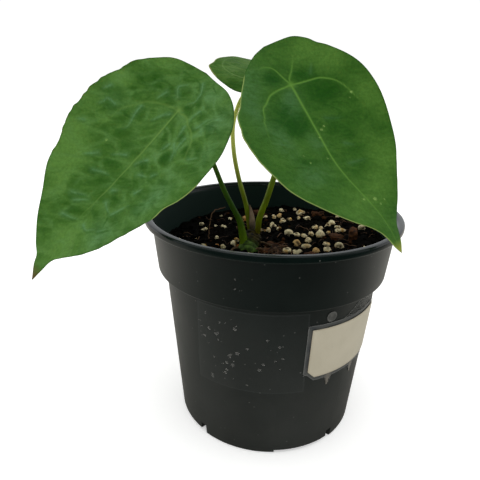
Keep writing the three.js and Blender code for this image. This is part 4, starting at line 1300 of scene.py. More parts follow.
# %% [markdown]
# ## The blades
# A blade is a sheet a little under a millimetre thick, soft between its veins. On the
# left leaf the tissue stands up in domes between a net of sunken veins, which is
# called bullate. The right leaf is older, or was watered better, and is smooth. The
# domes could come from a displaced texture, but on this leaf the clear ones have their
# own places. Their tops are painted darkest, as shade, and the net between them
# lighter, so each dark tone listed further down is the middle of one. A seeded draw
# fills the rest, and on the other two leaves makes them all. The sheet is raised by
# how far a point is from the border between two cells.

# %% Domes between the veins
DOME_APART, DOME_DRAWS, DOME_SEED, NET_WIDTH = 6.8, 900, 11, 1.0
DOME_REACH, DOME_SIDE, CELL_LONG, CELL_WIDE = 24, 42, 0.68, 1.3
LATERAL_SLOPE = each_leaf(0.9, 0.675, 0.7)


def cell_distance(s, w, middle, slope):
    """Distance to a cell's middle, longer across the side veins than along them."""
    way = np.array([slope, 1]) / math.hypot(slope, 1)
    off_s, off_w = s - middle[0], w - middle[1]
    side = np.sign(w) + (w == 0)
    along = off_s * way[0] + off_w * way[1] * side
    beside = off_s * way[1] * side - off_w * way[0]
    return np.hypot(CELL_LONG * along, CELL_WIDE * beside)


def filled_middles(listed, tip):
    """The listed middles and, between them, as many drawn ones as find room."""
    draw = random.Random(DOME_SEED)
    middles = list(listed)
    for _ in range(DOME_DRAWS):
        s = draw.uniform(-DOME_REACH, tip)
        w = draw.uniform(-DOME_SIDE, DOME_SIDE)
        if all(math.hypot(s - a, w - b) > DOME_APART for a, b in middles):
            middles.append((s, w))
    return middles


def dome_height(s, w, middles, slope, soft):
    """0 on a soft border between cells, towards 1 on each dome, and the border's own value."""
    nearest = np.full(s.shape, 1e6)
    second = nearest.copy()
    owner = np.zeros(s.shape, int)
    bent_s = s + 1.1 * np.sin(0.31 * w + 0.6) + 0.6 * np.sin(0.57 * s + 0.3 * w)
    bent_w = w + 1.1 * np.sin(0.27 * s) + 0.6 * np.sin(0.5 * w - 0.33 * s + 2)
    for index, middle in enumerate(middles):
        d = cell_distance(bent_s, bent_w, middle, slope)
        closer = d < nearest
        second = np.where(closer, nearest, np.minimum(second, d))
        owner = np.where(closer, index, owner)
        nearest = np.minimum(nearest, d)
    size = np.array([0.7 + 0.3 * math.sin(7.3 * i) for i in range(len(middles))])
    to_border = (second - nearest) / 2
    broken = 0.5 + 0.5 * np.sin(0.37 * s + 0.2 * w) * np.sin(0.31 * w - 0.17 * s)
    dome = (1 - np.exp(-((to_border / soft) ** 2))) * size[owner]
    return dome, np.exp(-((to_border / NET_WIDTH) ** 2)) * broken


print("domes with room on a bare blade:", len(filled_middles([], 100)))

# %% [markdown]
# Veins leave the petiole's top like the arms of a star. The midrib runs towards the
# tip, a strong vein on each side arches along the margin, and the two front leaves
# have shorter ones that turn up into the top of the shield. Fainter side veins leave
# the midrib nearly in pairs. Each vein is a smooth line in the leaf's own two distances. How
# near a point is to a vein sets the vein's colour and how far it sinks.

# %% Vein lines
ARCHES = {
    "leaf_left": [
        [(0, 0), (1, -5), (3, -11), (6, -16), (9, -18), (13, -21), (17, -23), (23, -24), (34, -26)],
        [(0, 0), (1, 2), (1, 6), (4, 10), (6, 14), (10, 18), (14, 20), (19, 22), (26, 23)],
        [(0, 0), (-3, -3), (-5, -5), (-9, -8), (-11, -7), (-13, -5)],
    ],
    "leaf_right": [
        [(0, 0), (0, -3), (0, -7), (1, -12), (4, -16), (6, -19), (10, -21), (13, -23), (24, -27)],
        [(0, 0), (1, 4), (2, 9), (3, 13), (5, 16), (8, 19), (12, 21), (16, 22), (24, 24)],
        [(0, 0), (-3, 1), (-6, 4), (-10, 7), (-13, 9)],
        [(0, 0), (-3, -1), (-7, -2), (-10, -3), (-12, -5), (-13, -8), (-12, -11)],
    ],
    "leaf_back": [
        [(0, 0), (1, -6), (6, -13.5), (14, -18), (26, -18), (38, -14), (50, -7.5)],
        [(0, 0), (1, 6), (6, 13.5), (14, 18), (26, 18), (38, 14), (50, 7.5)],
    ],
}
ARCH_WEIGHTS = each_leaf((0.6, 0.65, 0.15), (1, 1, 0.8, 0.8), (0.6, 0.6))
SIDE_WEIGHTS = each_leaf(0.1, 0.07, 0.3)
VEIN_STEPS, LATERAL_STEPS, STREAK_STEPS = 60, 24, 20
LATERALS_APART, FIRST_LATERAL, LAST_LATERAL, NEAR_SIDE_LATER = 8.6, 7.0, 16.0, 1.5
LATERAL_BOW, LATERAL_HALF, STAR_SIZE = 0.004, 0.34, 1.6
RIB_HALF = each_leaf(0.42, 0.55, 0.55)
RIB_UNTIL = each_leaf(80, 100, 100)
ARCH_HALF = each_leaf(0.62, 0.45, 0.45)


def vein_lines(name):
    """Each vein as points, its weight, and its half width in mm."""
    leaf, slope = LEAVES[name], LATERAL_SLOPE[name]
    tip = leaf["midrib"][-1][0]
    rib = [p for p in leaf["midrib"] if 0 <= p[0] <= RIB_UNTIL[name]]
    veins = [(smooth_line(rib, VEIN_STEPS), 1.0, RIB_HALF[name])]
    for arch, weight in zip(ARCHES[name], ARCH_WEIGHTS[name]):
        veins.append((smooth_line(arch, VEIN_STEPS), weight, ARCH_HALF[name]))
    for side, edge in ((1, "near"), (-1, "far")):
        ways = np.array(leaf[edge])
        start = FIRST_LATERAL + (NEAR_SIDE_LATER if side > 0 else 0)
        while start < tip - LAST_LATERAL:
            w = 0.78 * abs(np.interp(start + 12, ways[:, 0], ways[:, 1]))
            rib_w = np.interp(start, *np.array(leaf["midrib"]).T)
            bow = LATERAL_BOW * slope
            places = [(start + slope * x - bow * x * x, rib_w + side * x) for x in np.linspace(0, w, 8)]
            veins.append((smooth_line(places, LATERAL_STEPS), SIDE_WEIGHTS[name], LATERAL_HALF))
            start += LATERALS_APART
    return veins


def near_veins(s, w, veins, star=1):
    """The strongest vein at each point, 1 on the middle of a main vein and at the star."""
    value = star * np.exp(-(s * s + w * w) / STAR_SIZE**2)
    for line, weight, half in veins:
        fade = weight * (1 - np.linspace(0, 1, len(line) - 1) ** 3)
        widths = half * mixed(1, 0.5, np.linspace(0, 1, len(line) - 1))
        for a, b, strength, width in zip(line, line[1:], fade, widths):
            step = b - a
            length2 = max(step @ step, 1e-9)
            share = np.clip(((s - a[0]) * step[0] + (w - a[1]) * step[1]) / length2, 0, 1)
            d2 = (s - a[0] - share * step[0]) ** 2 + (w - a[1] - share * step[1]) ** 2
            value = np.maximum(value, strength * np.exp(-d2 / width**2))
    return value


print("veins:", {name: len(vein_lines(name)) for name in LEAVES})

# %% [markdown]
# A real blade is never one green, and light and shade are painted on it here as well.
# The flanks of the domes mirror the pale room in soft bluish streaks, painted here as
# reflections, their tops and the folds are painted deep green, as shade, and the margins
# have aged towards yellow. Noise alone would put those anywhere. As the eye knows this
# plant by them, each has a place here. A streak, which is a painted reflection, and a
# dark crease, which is a painted shadow, are short lines. A tone, painted light when above
# nought and painted shade below it, and a bluish shine, a painted reflection, are soft
# patches, each with its reach along and across the leaf and its strength, below nought
# for darker. A fleck is a pale dot with its size.

# %% Streaks, creases, tones, shines and flecks
STREAKS = {
    "leaf_left": [
        [(-5, -5), (-9, -8), (-11, -7), (-13, -5), (-15, -4)], [(-4, -11), (-1, -12), (2, -13)],
        [(-17, 1), (-14, 3), (-11, 4), (-7, 4), (-5, 2), (-3, 1)],
        [(-5, 10), (-2, 9), (2, 9), (4, 11)], [(3, 15), (0, 16), (-3, 17), (-6, 19)],
        [(5, 9), (10, 10), (14, 10)], [(16, 9), (20, 8), (22, 7)],
        [(10, 14), (13, 14), (16, 14), (19, 16), (21, 17)],
        [(15, 11), (18, 14), (22, 16), (24, 18)], [(4, -2), (7, -5), (9, -6), (11, -7), (13, -9)],
        [(18, 24), (16, 27), (15, 29)], [(9, -16), (14, -16), (18, -15), (22, -15), (24, -17)],
        [(10, -33), (13, -34), (15, -34)], [(16, -26), (16, -30), (19, -31), (22, -33)],
        [(31, -32), (33, -35)], [(39, -17), (42, -20), (45, -23)], [(32, -5), (34, -9), (37, -12)],
        [(47, -13), (45, -9), (44, -4)], [(36, 7), (35, 11), (34, 13)],
        [(28, 6), (30, 4), (33, 2), (34, 3), (35, 5)], [(49, 2), (47, 5)], [(44, 13), (40, 15)],
        [(33, 14), (30, 16)], [(55, 4), (57, 7), (58, 11)],
        [(58, 11), (56, 12), (52, 14), (49, 16)], [(69, 3), (70, 6), (68, 9), (67, 12)],
        [(67, 12), (65, 14), (62, 17)], [(71, -10), (70, -5), (68, 0)],
        [(61, -14), (59, -9), (57, -4)], [(63, -10), (60, -6), (58, -3)],
    ],
    "leaf_right": [
        [(-1, 11), (-5, 14)], [(21, 5), (23, 9), (24, 13)], [(35, 6), (38, 10)],
        [(44, 2), (45, 7), (46, 12)],
    ],
    "leaf_back": [],
}
CREASES = {
    "leaf_left": [
        [(2, 1), (10, 1), (20, 1), (28, 1)], [(0, -1), (2, -5)],
        [(-17, -3), (-16, 0), (-13, 2), (-11, 3)], [(-17, -11), (-17, -8), (-16, -6)],
        [(-7, 5), (-4, 5), (0, 7)], [(-18, 7), (-16, 11)], [(60, -11), (58, -5)],
        [(60, 11), (63, 12), (65, 13)],
    ],
    "leaf_right": [],
    "leaf_back": [],
}
TONES = {
    "leaf_left": [
        (-5, -21, 5, 6, -0.6), (-5, -17, 4, 4, -0.5), (-2, -8, 3, 4, -0.6), (-9, -4, 4, 3.5, -0.5),
        (-3, 3, 1.5, 2, -1), (-4, 12, 3.5, 2.5, -1), (-7, 7, 2, 1.5, -0.7), (-9, 11, 2.5, 2, -0.7),
        (1, 21, 3, 5, -0.9), (10, 12, 2, 1, -0.9), (9, 4, 5, 2.5, -0.6), (17, 5, 4, 3, -0.6),
        (12, 24, 3, 3.5, -0.9), (15, 18, 3, 2, -0.9), (23, 13, 3.5, 3, -1), (32, 7, 2.5, 4, -1),
        (2, -24, 5, 5, -0.6), (11, -29, 4, 4, -0.5), (19, -28, 4, 3, -0.5), (18, -20, 5, 5, -0.8),
        (12, -14, 3, 3, -0.7), (25, -15, 1.5, 4, -0.6), (28, -9, 6, 6, -0.7),
        (34, -23, 4, 4, -0.3), (39, -8, 3, 5, -0.8), (48, -14, 2, 4, -0.6),
        (43, -19, 1.5, 5, -0.4), (56, -17, 3, 3, -0.7), (47, -6, 3, 5, -0.6), (41, 10, 3, 4, -1),
        (52, 8, 3, 4, -0.9), (42, 16, 1.5, 2, -0.5), (50, 21, 1.5, 3, -0.4), (66, -7, 3, 6, -0.6),
        (63, 4, 3.5, 4, -0.6), (65, 9, 2.5, 3, -0.6), (57, 16, 2.5, 4, -0.4), (72, -8, 2, 4, -0.5),
        (78, 7, 3, 4, -0.4), (4, -33, 4, 6, 0.9), (21, -37, 5, 5, 0.5), (24, -27, 3, 4, 0.4),
        (36, -34, 7, 5, 0.9), (48, -28, 10, 8, 1.2), (-15, -22, 5, 7, 0.5), (62, -22, 8, 5, 0.7),
        (80, 2, 11, 9, 1),
    ],
    "leaf_right": [
        (-6, -6, 4, 4, -1), (-2, 6, 3, 4, -0.8), (9, 12, 8, 8, -0.8), (10, -12, 5, 5, -0.7),
        (18, -8, 6, 6, -1.1), (21, -12, 5, 6, -0.5), (27, 5, 3, 4, -0.6), (32, 10, 3, 5, -0.6),
        (41, 9, 3, 6, -0.6), (48, 5, 3, 5, -0.4), (36, -17, 4, 6, -0.6), (15, -17, 4, 4, -0.5),
        (39, -9, 3, 4, -0.3), (-12, 15, 6, 8, 0.6), (-2, 22, 7, 7, 0.8), (22, 28, 10, 5, 0.8),
        (49, 19, 9, 7, 0.7), (64, -7, 9, 10, 0.6), (60, 8, 8, 6, 0.5),
    ],
    "leaf_back": [(-10, 0, 6, 12, -0.5), (30, 0, 14, 8, 0.3)],
}
SHINES = {
    "leaf_left": [
        (-4, 23, 6, 6, 0.9), (-14, 9, 5, 7, 0.7), (12, 31, 8, 4, 0.6), (35, 26, 8, 5, 0.6),
        (44, 23, 9, 4, 0.7), (67, 15, 7, 6, 0.9), (15, -27, 5, 5, 0.4),
    ],
    "leaf_right": [
        (5, -3, 4, 4, 0.9), (10, -6, 5, 4, 0.8), (30, -6, 5, 4, 0.8), (24, -21, 8, 5, 1),
        (43, -18, 5, 8, 0.9), (6, -25, 8, 4, 0.9), (-3, -20, 7, 5, 0.7), (-11, -14, 6, 6, 0.5),
    ],
    "leaf_back": [(10, -10, 12, 6, 0.7), (10, 12, 12, 6, 0.7)],
}
FLECKS = {
    "leaf_left": [(32, -18, 0.7)],
    "leaf_right": [
        (24, 2, 0.6), (25, 0, 0.7), (28, -3, 0.5), (38, -6, 0.4), (37, -15, 0.5), (33, -16, 0.4),
        (61, -3, 0.6), (63, 2, 0.9), (66, 3, 0.5), (65, 6, 0.4), (16, 22, 0.7), (18, 20, 0.4),
    ],
    "leaf_back": [],
}
STREAK_LOOK = each_leaf((1.6, 0.62, 1.0), (1.5, 0.8, 0.5), (1.0, 0.5, 0.5))
CREASE_OFF, CREASE_HALF, TONE_EDGE, SHINE_EDGE = (0.75, 0.85), 0.5, 1.2, 1.0
DARKENING = each_leaf(0.45, 0.7, 1.0)
WISP_WAY = each_leaf(-0.5, 0.5, 0.0)
print("streaks:", {name: len(lines) for name, lines in STREAKS.items()})
print("tones:", {name: len(marks) for name, marks in TONES.items()})

# %% [markdown]
# The lists become values at the points of the mesh. A streak is drawn as veins are, by
# how near a point is to it: a thin line in a wide faint one, with a painted crease
# shadow on one side. Patches add up where they overlap.

# %% Marks at the points of a blade
def patches(marks, s, w, edge, darkening=1.0):
    """Soft patches added up; a higher edge gives them a flatter middle and a crisper border."""
    total = 0
    for a, b, reach_s, reach_w, much in marks:
        off = ((s - a) / reach_s) ** 2 + ((w - b) / reach_w) ** 2
        total = total + much * (darkening if much < 0 else 1) * np.exp(-(off**edge))
    return total


def soft_marks(name, s, w):
    """How much painted reflection lies along streaks, painted shadow in the creases beside them,
    painted light and shade in tones, painted reflection in shines, and fleck there is at each point.

    The two wisp distances run along and across the way in which the side veins lie.
    """
    wide, thin, strong = STREAK_LOOK[name]
    lines = [smooth_line(line, STREAK_STEPS) for line in STREAKS[name]]
    halo, streaks = ([(line, strong, size) for line in lines] for size in (wide, thin))
    reflection_streak = np.maximum(near_veins(s, w, streaks, star=0), 0.5 * near_veins(s, w, halo, star=0))
    crease_shadow = near_veins(s - CREASE_OFF[0], w - CREASE_OFF[1], streaks, star=0) * (1 - reflection_streak)
    folds = [(smooth_line(line, STREAK_STEPS), 1.0, CREASE_HALF) for line in CREASES[name]]
    crease_shadow = np.maximum(crease_shadow, near_veins(s, w, folds, star=0))
    tone = patches(TONES[name], s, w, TONE_EDGE, DARKENING[name])
    shine = patches(SHINES[name], s, w, SHINE_EDGE)
    fleck = np.zeros(s.shape)
    for a, b, size in FLECKS[name]:
        fleck = np.maximum(fleck, np.exp(-((s - a) ** 2 + (w - b) ** 2) / size**2))
    lean, rest = WISP_WAY[name], math.sqrt(1 - WISP_WAY[name] ** 2)
    wisps = {"wisp_long": (lean * s + rest * w) * MM, "wisp_wide": (rest * s - lean * w) * MM}
    return {"reflection_streak": reflection_streak, "crease_shadow": crease_shadow, "tone": tone, "shine": shine, "fleck": fleck, **wisps}


marks = soft_marks("leaf_left", np.array([2.0]), np.array([9.0]))
print("at one point of the left leaf:", {key: round(float(v[0]), 3) for key, v in marks.items()})

# %% [markdown]
# One function turns a leaf's description into a grid of points. Its rows run from the
# top of the shield to the tip, its columns from the near margin over the midrib to
# the far margin. It returns the two distances of every point, its share of the way
# from the midrib to the margin, and how far it still is from the margin.

# %% Points of a blade
CROWDED = 1.15


def blade_grid(leaf, rows, columns):
    rib, near, far = (smooth_line(leaf[key], rows - 1) for key in ("midrib", "near", "far"))
    share = np.abs(np.linspace(-1, 1, 2 * columns + 1))
    share = 1 - (1 - share) ** CROWDED
    halves = [
        mixed(rib[:, None, :], near[:, None, :], share[None, : columns + 1, None]),
        mixed(rib[:, None, :], far[:, None, :], share[None, columns + 1 :, None]),
    ]
    grid = np.concatenate(halves, axis=1)
    to_edge = [
        (1 - share[None, : columns + 1]) * np.linalg.norm(near - rib, axis=1)[:, None],
        (1 - share[None, columns + 1 :]) * np.linalg.norm(far - rib, axis=1)[:, None],
    ]
    share = share[None, :] + 0 * grid[..., 0]
    return grid[..., 0], grid[..., 1], share, np.concatenate(to_edge, axis=1)


grid = blade_grid(LEAVES["leaf_right"], 5, 3)
print("furthest from the right leaf's margin:", round(grid[3].max()), "mm")

# %% [markdown]
# Now the sheet gets its relief: domes, sunken veins, a waved margin that curls down,
# and small kinks along parts of it. The back has a rib under the midrib and comes
# closer at the margin. The values that the finish reads go on the mesh, and one of
# them tells the underside from the upper face.

# %% Relief of a blade
BLADE_RELIEF = {
    # dome height, softness of the borders, margin wave, vein depth, all in mm
    "leaf_left": (0.75, 2.6, 0.35, 0.3),
    "leaf_right": (0.2, 3.0, 0.15, 0.2),
    "leaf_back": (0.25, 2.6, 0.2, 0.15),
}
PALE_MARGIN = each_leaf((1, 22, 52), (-1, -16, 200), (1, -6, 200))
CRINKLE, CRINKLE_LENGTH = each_leaf(0.24, 0.08, 0.08), 7.7
WAVE_LENGTH, TIP_FADE, RIB_FROM, CREASE_DEPTH = 21.0, 25.0, -12.0, 0.12
DOME_FLOOR, EDGE_CURL, CURL_WIDTH, RIB_WIDTH2 = 0.45, 0.25, 1.2, 1.6
EDGE_THICK, MORE_INSIDE, RIB_LOW, VEIN_LOW = 0.3, 0.45, 0.85, 0.12
# where the left leaf's painted dome shade and net sheen are strongest: place, reach along, place, reach
# across, how much
QUILTED, QUILTED_AWAY, QUILTED_OTHERS = (8, 22, 13, 11, 1.3), 0.5, 0.3


def make_blade(name, rows, columns, finish, slot):
    leaf = LEAVES[name]
    height, soft, wave, depth = BLADE_RELIEF[name]
    s, w, share, to_edge = blade_grid(leaf, rows, columns)
    turns = 2 * math.pi * s / CRINKLE_LENGTH
    slow = np.sin(turns) * np.sin(0.31 * turns + 1)
    crinkle = slow + 0.5 * np.sin(1.6 * turns + 1) * np.sin(0.47 * turns)
    far_part = (w < 0) * eased((s + 16) / 10) * eased((60 - s) / 15)
    near_part = (w > 0) * eased((s - 40) / 8) * eased((94 - s) / 8)
    w = w + CRINKLE[name] * crinkle * share**8 * (far_part + 0.7 * near_part)
    tip = leaf["midrib"][-1][0]
    listed = [(a, b) for a, b, _, _, much in TONES[name] if much < 0 and name == "leaf_left"]
    middles = filled_middles(listed, tip)
    dome, net_sheen = dome_height(s, w, middles, LATERAL_SLOPE[name], soft)
    quilted = QUILTED_OTHERS
    if name == "leaf_left":
        at_s, reach_s, at_w, reach_w, more = QUILTED
        off = ((s - at_s) / reach_s) ** 2 + ((w - at_w) / reach_w) ** 2
        quilted = QUILTED_AWAY + more * np.exp(-off)
    net_sheen = net_sheen * quilted
    vein = near_veins(s, w, vein_lines(name))
    calm = eased((tip - s) / TIP_FADE)
    phase = np.where(w > 0, 1.0, 3.0)
    ripple = wave * np.sin(2 * math.pi * s / WAVE_LENGTH + phase) * share**3
    relief = height * (dome - DOME_FLOOR) * (1 - share**5) + ripple
    marks = soft_marks(name, s, w)
    relief = relief * calm - depth * vein * (1 - 0.6 * share) - CREASE_DEPTH * marks["crease_shadow"]
    curl = -EDGE_CURL * np.exp(-to_edge / CURL_WIDTH)
    front = on_leaf(leaf, s, w, relief + curl)
    rib = np.exp(-((w - np.interp(s, *np.array(leaf["midrib"]).T)) ** 2) / RIB_WIDTH2)
    rib = rib * eased((s - RIB_FROM) / 8) * mixed(0.25, 1, eased((tip - s) / 60))
    thick = EDGE_THICK + MORE_INSIDE * eased(to_edge / 2.5)
    back = on_leaf(leaf, s, w, relief + curl - thick - RIB_LOW * rib - VEIN_LOW * vein)
    points, faces = sheet_solid(front, back)
    pale_side, pale_from, pale_until = PALE_MARGIN[name]
    pale = (pale_side * w > 0) * eased((s - pale_from) / 6) * eased((pale_until - s) / 6)
    margin = np.exp(-to_edge / 0.7)
    # net_sheen and dome carry painted light and shade: the net between the domes is painted lighter and
    # bluish, the dome tops darker.
    values = {
        "vein": vein,
        "net_sheen": net_sheen,
        "dome": (dome - 0.35) * quilted,
        "rim": margin * pale,
        "dark_rim": margin * (1 - pale),
        "along": s / tip,
        **marks,
    }
    values = {key: np.tile(np.broadcast_to(v, s.shape).ravel(), 2) for key, v in values.items()}
    values["under"] = np.repeat([0.0, 1.0], s.size)
    make_piece(name.replace("leaf", "blade"), points, faces, finish, slot, [name], values, merge=True)


# %% [markdown]
# The three blades share one look and differ in shade, gloss and how much of each mark
# they show. The colour is built up in layers: soft clouds and the tones, domes and net
# between a deep and a light green, which paint light and shade, bluish streaks and shines
# painted as reflections, dark creases painted as shadows, a fine grain of cells, then
# paler veins, flecks and margin. The underside is a dull light green.

# %% Leaf finishes
WISP_STRETCH = 0.5


def leaf_finish(
    name, deep, light, blue, pale, rim_colour, tip_colour, net_share, cloudy, wispy, grainy, gloss
):
    finish, tree, shader = new_finish(
        name, Specular_IOR_Level=gloss, Subsurface_Weight=0.05, Subsurface_Scale=0.0015
    )
    clouds = mottled(tree, deep, light, 45.0, 0.7)["Mask"]
    net_sheen = value_of(tree, "net_sheen")
    lit = scaled(tree, clouds, cloudy, 0.42 - cloudy / 2)
    # The tones add painted light and painted shade to the share of light green.
    lit = scaled(tree, value_of(tree, "tone"), 0.56, lit)
    # Painted light on the net between the domes, painted shade on the dome tops.
    lit = scaled(tree, net_sheen, net_share, lit)
    lit = scaled(tree, value_of(tree, "dome"), -0.9 * net_share, lit)
    long_way = times(tree, value_of(tree, "wisp_long"), WISP_STRETCH)
    flow = node(tree, "CombineXYZ", {0: long_way, 1: value_of(tree, "wisp_wide")}).outputs[0]
    sockets = {"Vector": flow, "Scale": 230.0, "Detail": 5.0, "Distortion": 1.2}
    wisps = node(tree, "TexNoise", sockets).outputs["Fac"]
    lit = scaled(tree, ranged(tree, wisps, 0.3, 0.7, -0.5, 0.5), wispy, lit)
    colour = mix_colours(tree, ranged(tree, lit, -0.1, 1.1), deep, light)
    # Painted reflections: the bluish net, shines and streaks stand for the pale room mirrored in the
    # blade.
    net_shine = times(tree, net_sheen, net_share * 1.6)
    shine = scaled(tree, value_of(tree, "shine"), 0.6, net_shine)
    shine = times(tree, shine, ranged(tree, wisps, 0.3, 0.62, 0.25, 1.0))
    unbroken = ranged(tree, wisps, 0.25, 0.6, 0.6, 1.0)
    reflection_streak = times(tree, value_of(tree, "reflection_streak"), unbroken)
    shine = maths(tree, "MAXIMUM", shine, reflection_streak)
    colour = mix_colours(tree, shine, colour, blue)
    # Painted shadow in the creases.
    colour = mix_colours(tree, times(tree, value_of(tree, "crease_shadow"), 0.6), colour, deep)
    cells = node(tree, "TexVoronoi", {"Scale": 420.0}, feature="DISTANCE_TO_EDGE")
    cell_line = ranged(tree, cells.outputs["Distance"], 0.09, 0.0)
    grain = mottled(tree, rgb(0.6, 0.66, 0.6), rgb(1.4, 1.3, 1.45), 900.0, 1.0)
    colour = mix_colours(tree, grainy, colour, grain["Colour"], "MULTIPLY")
    vein = value_of(tree, "vein")
    colour = laid_on(tree, colour, pale, vein, 0.85)
    broken = ranged(tree, node(tree, "TexNoise", {"Scale": 1500.0}).outputs["Fac"], 0.46, 0.56)
    fleck = times(tree, ranged(tree, value_of(tree, "fleck"), 0.15, 0.8), broken)
    colour = mix_colours(tree, fleck, colour, rgb(0.27, 0.42, 0.11))
    dark_rim = times(tree, ranged(tree, value_of(tree, "dark_rim"), 0.1, 0.9), 0.55)
    colour = mix_colours(tree, dark_rim, colour, deep)
    colour = mix_colours(tree, ranged(tree, value_of(tree, "rim"), 0.35, 0.75), colour, rim_colour)
    colour = mix_colours(tree, ranged(tree, value_of(tree, "along"), 0.93, 1.0), colour, tip_colour)
    below = mottled(tree, rgb(0.1, 0.17, 0.06), rgb(0.13, 0.21, 0.08), 60.0, 0.7)
    ribbed = laid_on(tree, below["Colour"], rgb(0.17, 0.26, 0.1), vein, 0.4)
    under = value_of(tree, "under")
    link(mix_colours(tree, under, colour, ribbed), shader, "Base Color")
    dull = scaled(tree, clouds, 0.1, 0.42)
    link(scaled(tree, under, 0.2, dull), shader, "Roughness")
    skin_bump = bump(tree, use(tree, fine_grain, Scale=1300.0)["Height"], 0.05, 0.6)
    link(bump(tree, cell_line, -0.03, 0.4, skin_bump), shader, "Normal")
    return finish


# %% [markdown]
# Each leaf names its six colours in the order of the function above, then its own
# strengths. With its finish, each blade is made in one call, in place of its solid.

# %% The three blades
LEAF_FINISHES = {
    "leaf_left": leaf_finish(
        "leaf_quilted_skin", rgb(0.016, 0.08, 0.003), rgb(0.088, 0.205, 0.034), rgb(0.09, 0.215, 0.078),
        rgb(0.13, 0.25, 0.05), rgb(0.24, 0.32, 0.09), rgb(0.1, 0.06, 0.02),
        net_share=0.3, cloudy=0.22, wispy=0.3, grainy=0.3, gloss=0.08,
    ),
    "leaf_right": leaf_finish(
        "leaf_smooth_skin", rgb(0.008, 0.064, 0.001), rgb(0.068, 0.17, 0.022), rgb(0.052, 0.142, 0.05),
        rgb(0.11, 0.25, 0.035), rgb(0.22, 0.3, 0.08), rgb(0.24, 0.27, 0.04),
        net_share=0.03, cloudy=0.25, wispy=0.2, grainy=0.35, gloss=0.08,
    ),
    "leaf_back": leaf_finish(
        "leaf_dark_skin", rgb(0.014, 0.065, 0.003), rgb(0.085, 0.175, 0.03), rgb(0.09, 0.175, 0.055),
        rgb(0.15, 0.25, 0.08), rgb(0.22, 0.24, 0.07), rgb(0.2, 0.2, 0.06),
        net_share=0.05, cloudy=0.3, wispy=0.3, grainy=0.35, gloss=0.01,
    ),
}
print("leaf finishes:", [finish.name for finish in LEAF_FINISHES.values()])
make_blade("leaf_left", 260, 70, LEAF_FINISHES["leaf_left"], "leaf_quilted")
make_blade("leaf_right", 240, 64, LEAF_FINISHES["leaf_right"], "leaf_smooth")
make_blade("leaf_back", 140, 40, LEAF_FINISHES["leaf_back"], "leaf_dark")

# %% [markdown]
# ## The label and its film
# The label is bare cream paper, a little cockled from watering, with its lower left
# corner torn off. It lies on a wider sheet of clear film that holds it on. A flat
# sheet bent by a modifier would do, but both follow the cone of the wall, so they are
# grids over angle and height.

# %% Label paper
LABEL_FROM, LABEL_TO, LABEL_LOW, LABEL_HIGH = -68.5, -17.0, 46.8, 73.6
LABEL_CORNER, LABEL_CUT = 4.0, 3.6
LABEL_TALL, MM_PER_DEGREE = 26, 0.9
FILM_OUT, LABEL_OUT = 0.1, 0.45
PAPER_THICK, COCKLE, FILM_THICK = 0.15, 0.16, 0.08


def label_low(angle):
    """The label's lower edge, which climbs where the corner is torn off."""
    return LABEL_LOW + LABEL_CUT * np.clip(1 - (angle - LABEL_FROM) / LABEL_CORNER, 0, 1)


def noise_over(first, second, first_scale, second_scale, level):
    """Noise over two grids of values, each with its own scale."""
    pairs = [zip(*row) for row in zip(first, second)]
    return np.array(
        [[noise.noise((a * first_scale, b * second_scale, level)) for a, b in row] for row in pairs]
    )


columns, rows = 190, 90
angle = np.linspace(LABEL_FROM, LABEL_TO, columns)[None, :]
share = np.linspace(0, 1, rows)[:, None]
low = label_low(angle)
height = mixed(low, LABEL_HIGH + 0 * low, share)
angle = angle + 0 * share
cockle = noise_over(angle, height, 0.16, 0.11, 2.0)
from_sides = np.minimum(angle - LABEL_FROM, LABEL_TO - angle) * MM_PER_DEGREE
edge_in = np.minimum(np.minimum(share, 1 - share) * LABEL_TALL, from_sides)
out = LABEL_OUT + 0.22 + COCKLE * cockle * eased(edge_in / 3)
points, faces = sheet_solid(on_wall(angle, height, out), on_wall(angle, height, out - PAPER_THICK))
label_paper, tree, shader = new_finish("label_paper", Specular_IOR_Level=0.4)
paper = mottled(tree, rgb(0.44, 0.4, 0.3), rgb(0.5, 0.455, 0.35), 55.0, 0.8)
yellowed = ranged(tree, value_of(tree, "inward"), 1.3, 0.0, 0.0, 0.35)
colour = mix_colours(tree, yellowed, paper["Colour"], rgb(0.3, 0.25, 0.17))
dirt = use(tree, specks, Scale=330.0, Size=0.16, Share=0.12)["Mask"]
colour = laid_on(tree, colour, rgb(0.2, 0.17, 0.12), dirt, 0.12)
link(colour, shader, "Base Color")
link(scaled(tree, paper["Mask"], 0.15, 0.42), shader, "Roughness")
grained(tree, shader, 1600.0, 0.03, 0.4)
inward = np.tile(edge_in.ravel(), 2)
make_piece("paper_label", points, faces, label_paper, "label_paper", ["label_paper"], {"inward": inward})

# %% [markdown]
# The film is nearly invisible head on: what shows is its cut edge, which catches
# light as a thin grey line, and a hazy grey band close to the paper, where glue and
# dust have gathered. Its lower edge has stretched into three small points. The finish
# is mostly transparent, and opaque only near the paper and along the edge.

# %% Clear film
FILM_MARGIN, FILM_SIDE, FILM_UNTIL, FILM_TOP = 2.2, 2.2, -10.0, 82.0
FILM_CLIMB, CLIMB_OVER = -52.0, 14.0
DRIP, DRIP_FROM, DRIP_APART, DRIP_POWER = 5.2, -60.0, 19.0, 6
columns, rows = 240, 120
angle = np.linspace(LABEL_FROM - FILM_SIDE, FILM_UNTIL, columns)[None, :]
share = np.linspace(0, 1, rows)[:, None]
swell = np.clip(np.sin(2 * math.pi * (angle - DRIP_FROM) / DRIP_APART), 0, 1) ** DRIP_POWER
low = label_low(np.maximum(angle, LABEL_FROM)) - FILM_MARGIN - DRIP * swell
high = mixed(LABEL_HIGH + FILM_MARGIN, FILM_TOP, eased((angle - FILM_CLIMB) / CLIMB_OVER))
height = mixed(low, high, share)
angle = angle + 0 * share
side_in = np.minimum(angle - (LABEL_FROM - FILM_SIDE), FILM_UNTIL - angle) * MM_PER_DEGREE
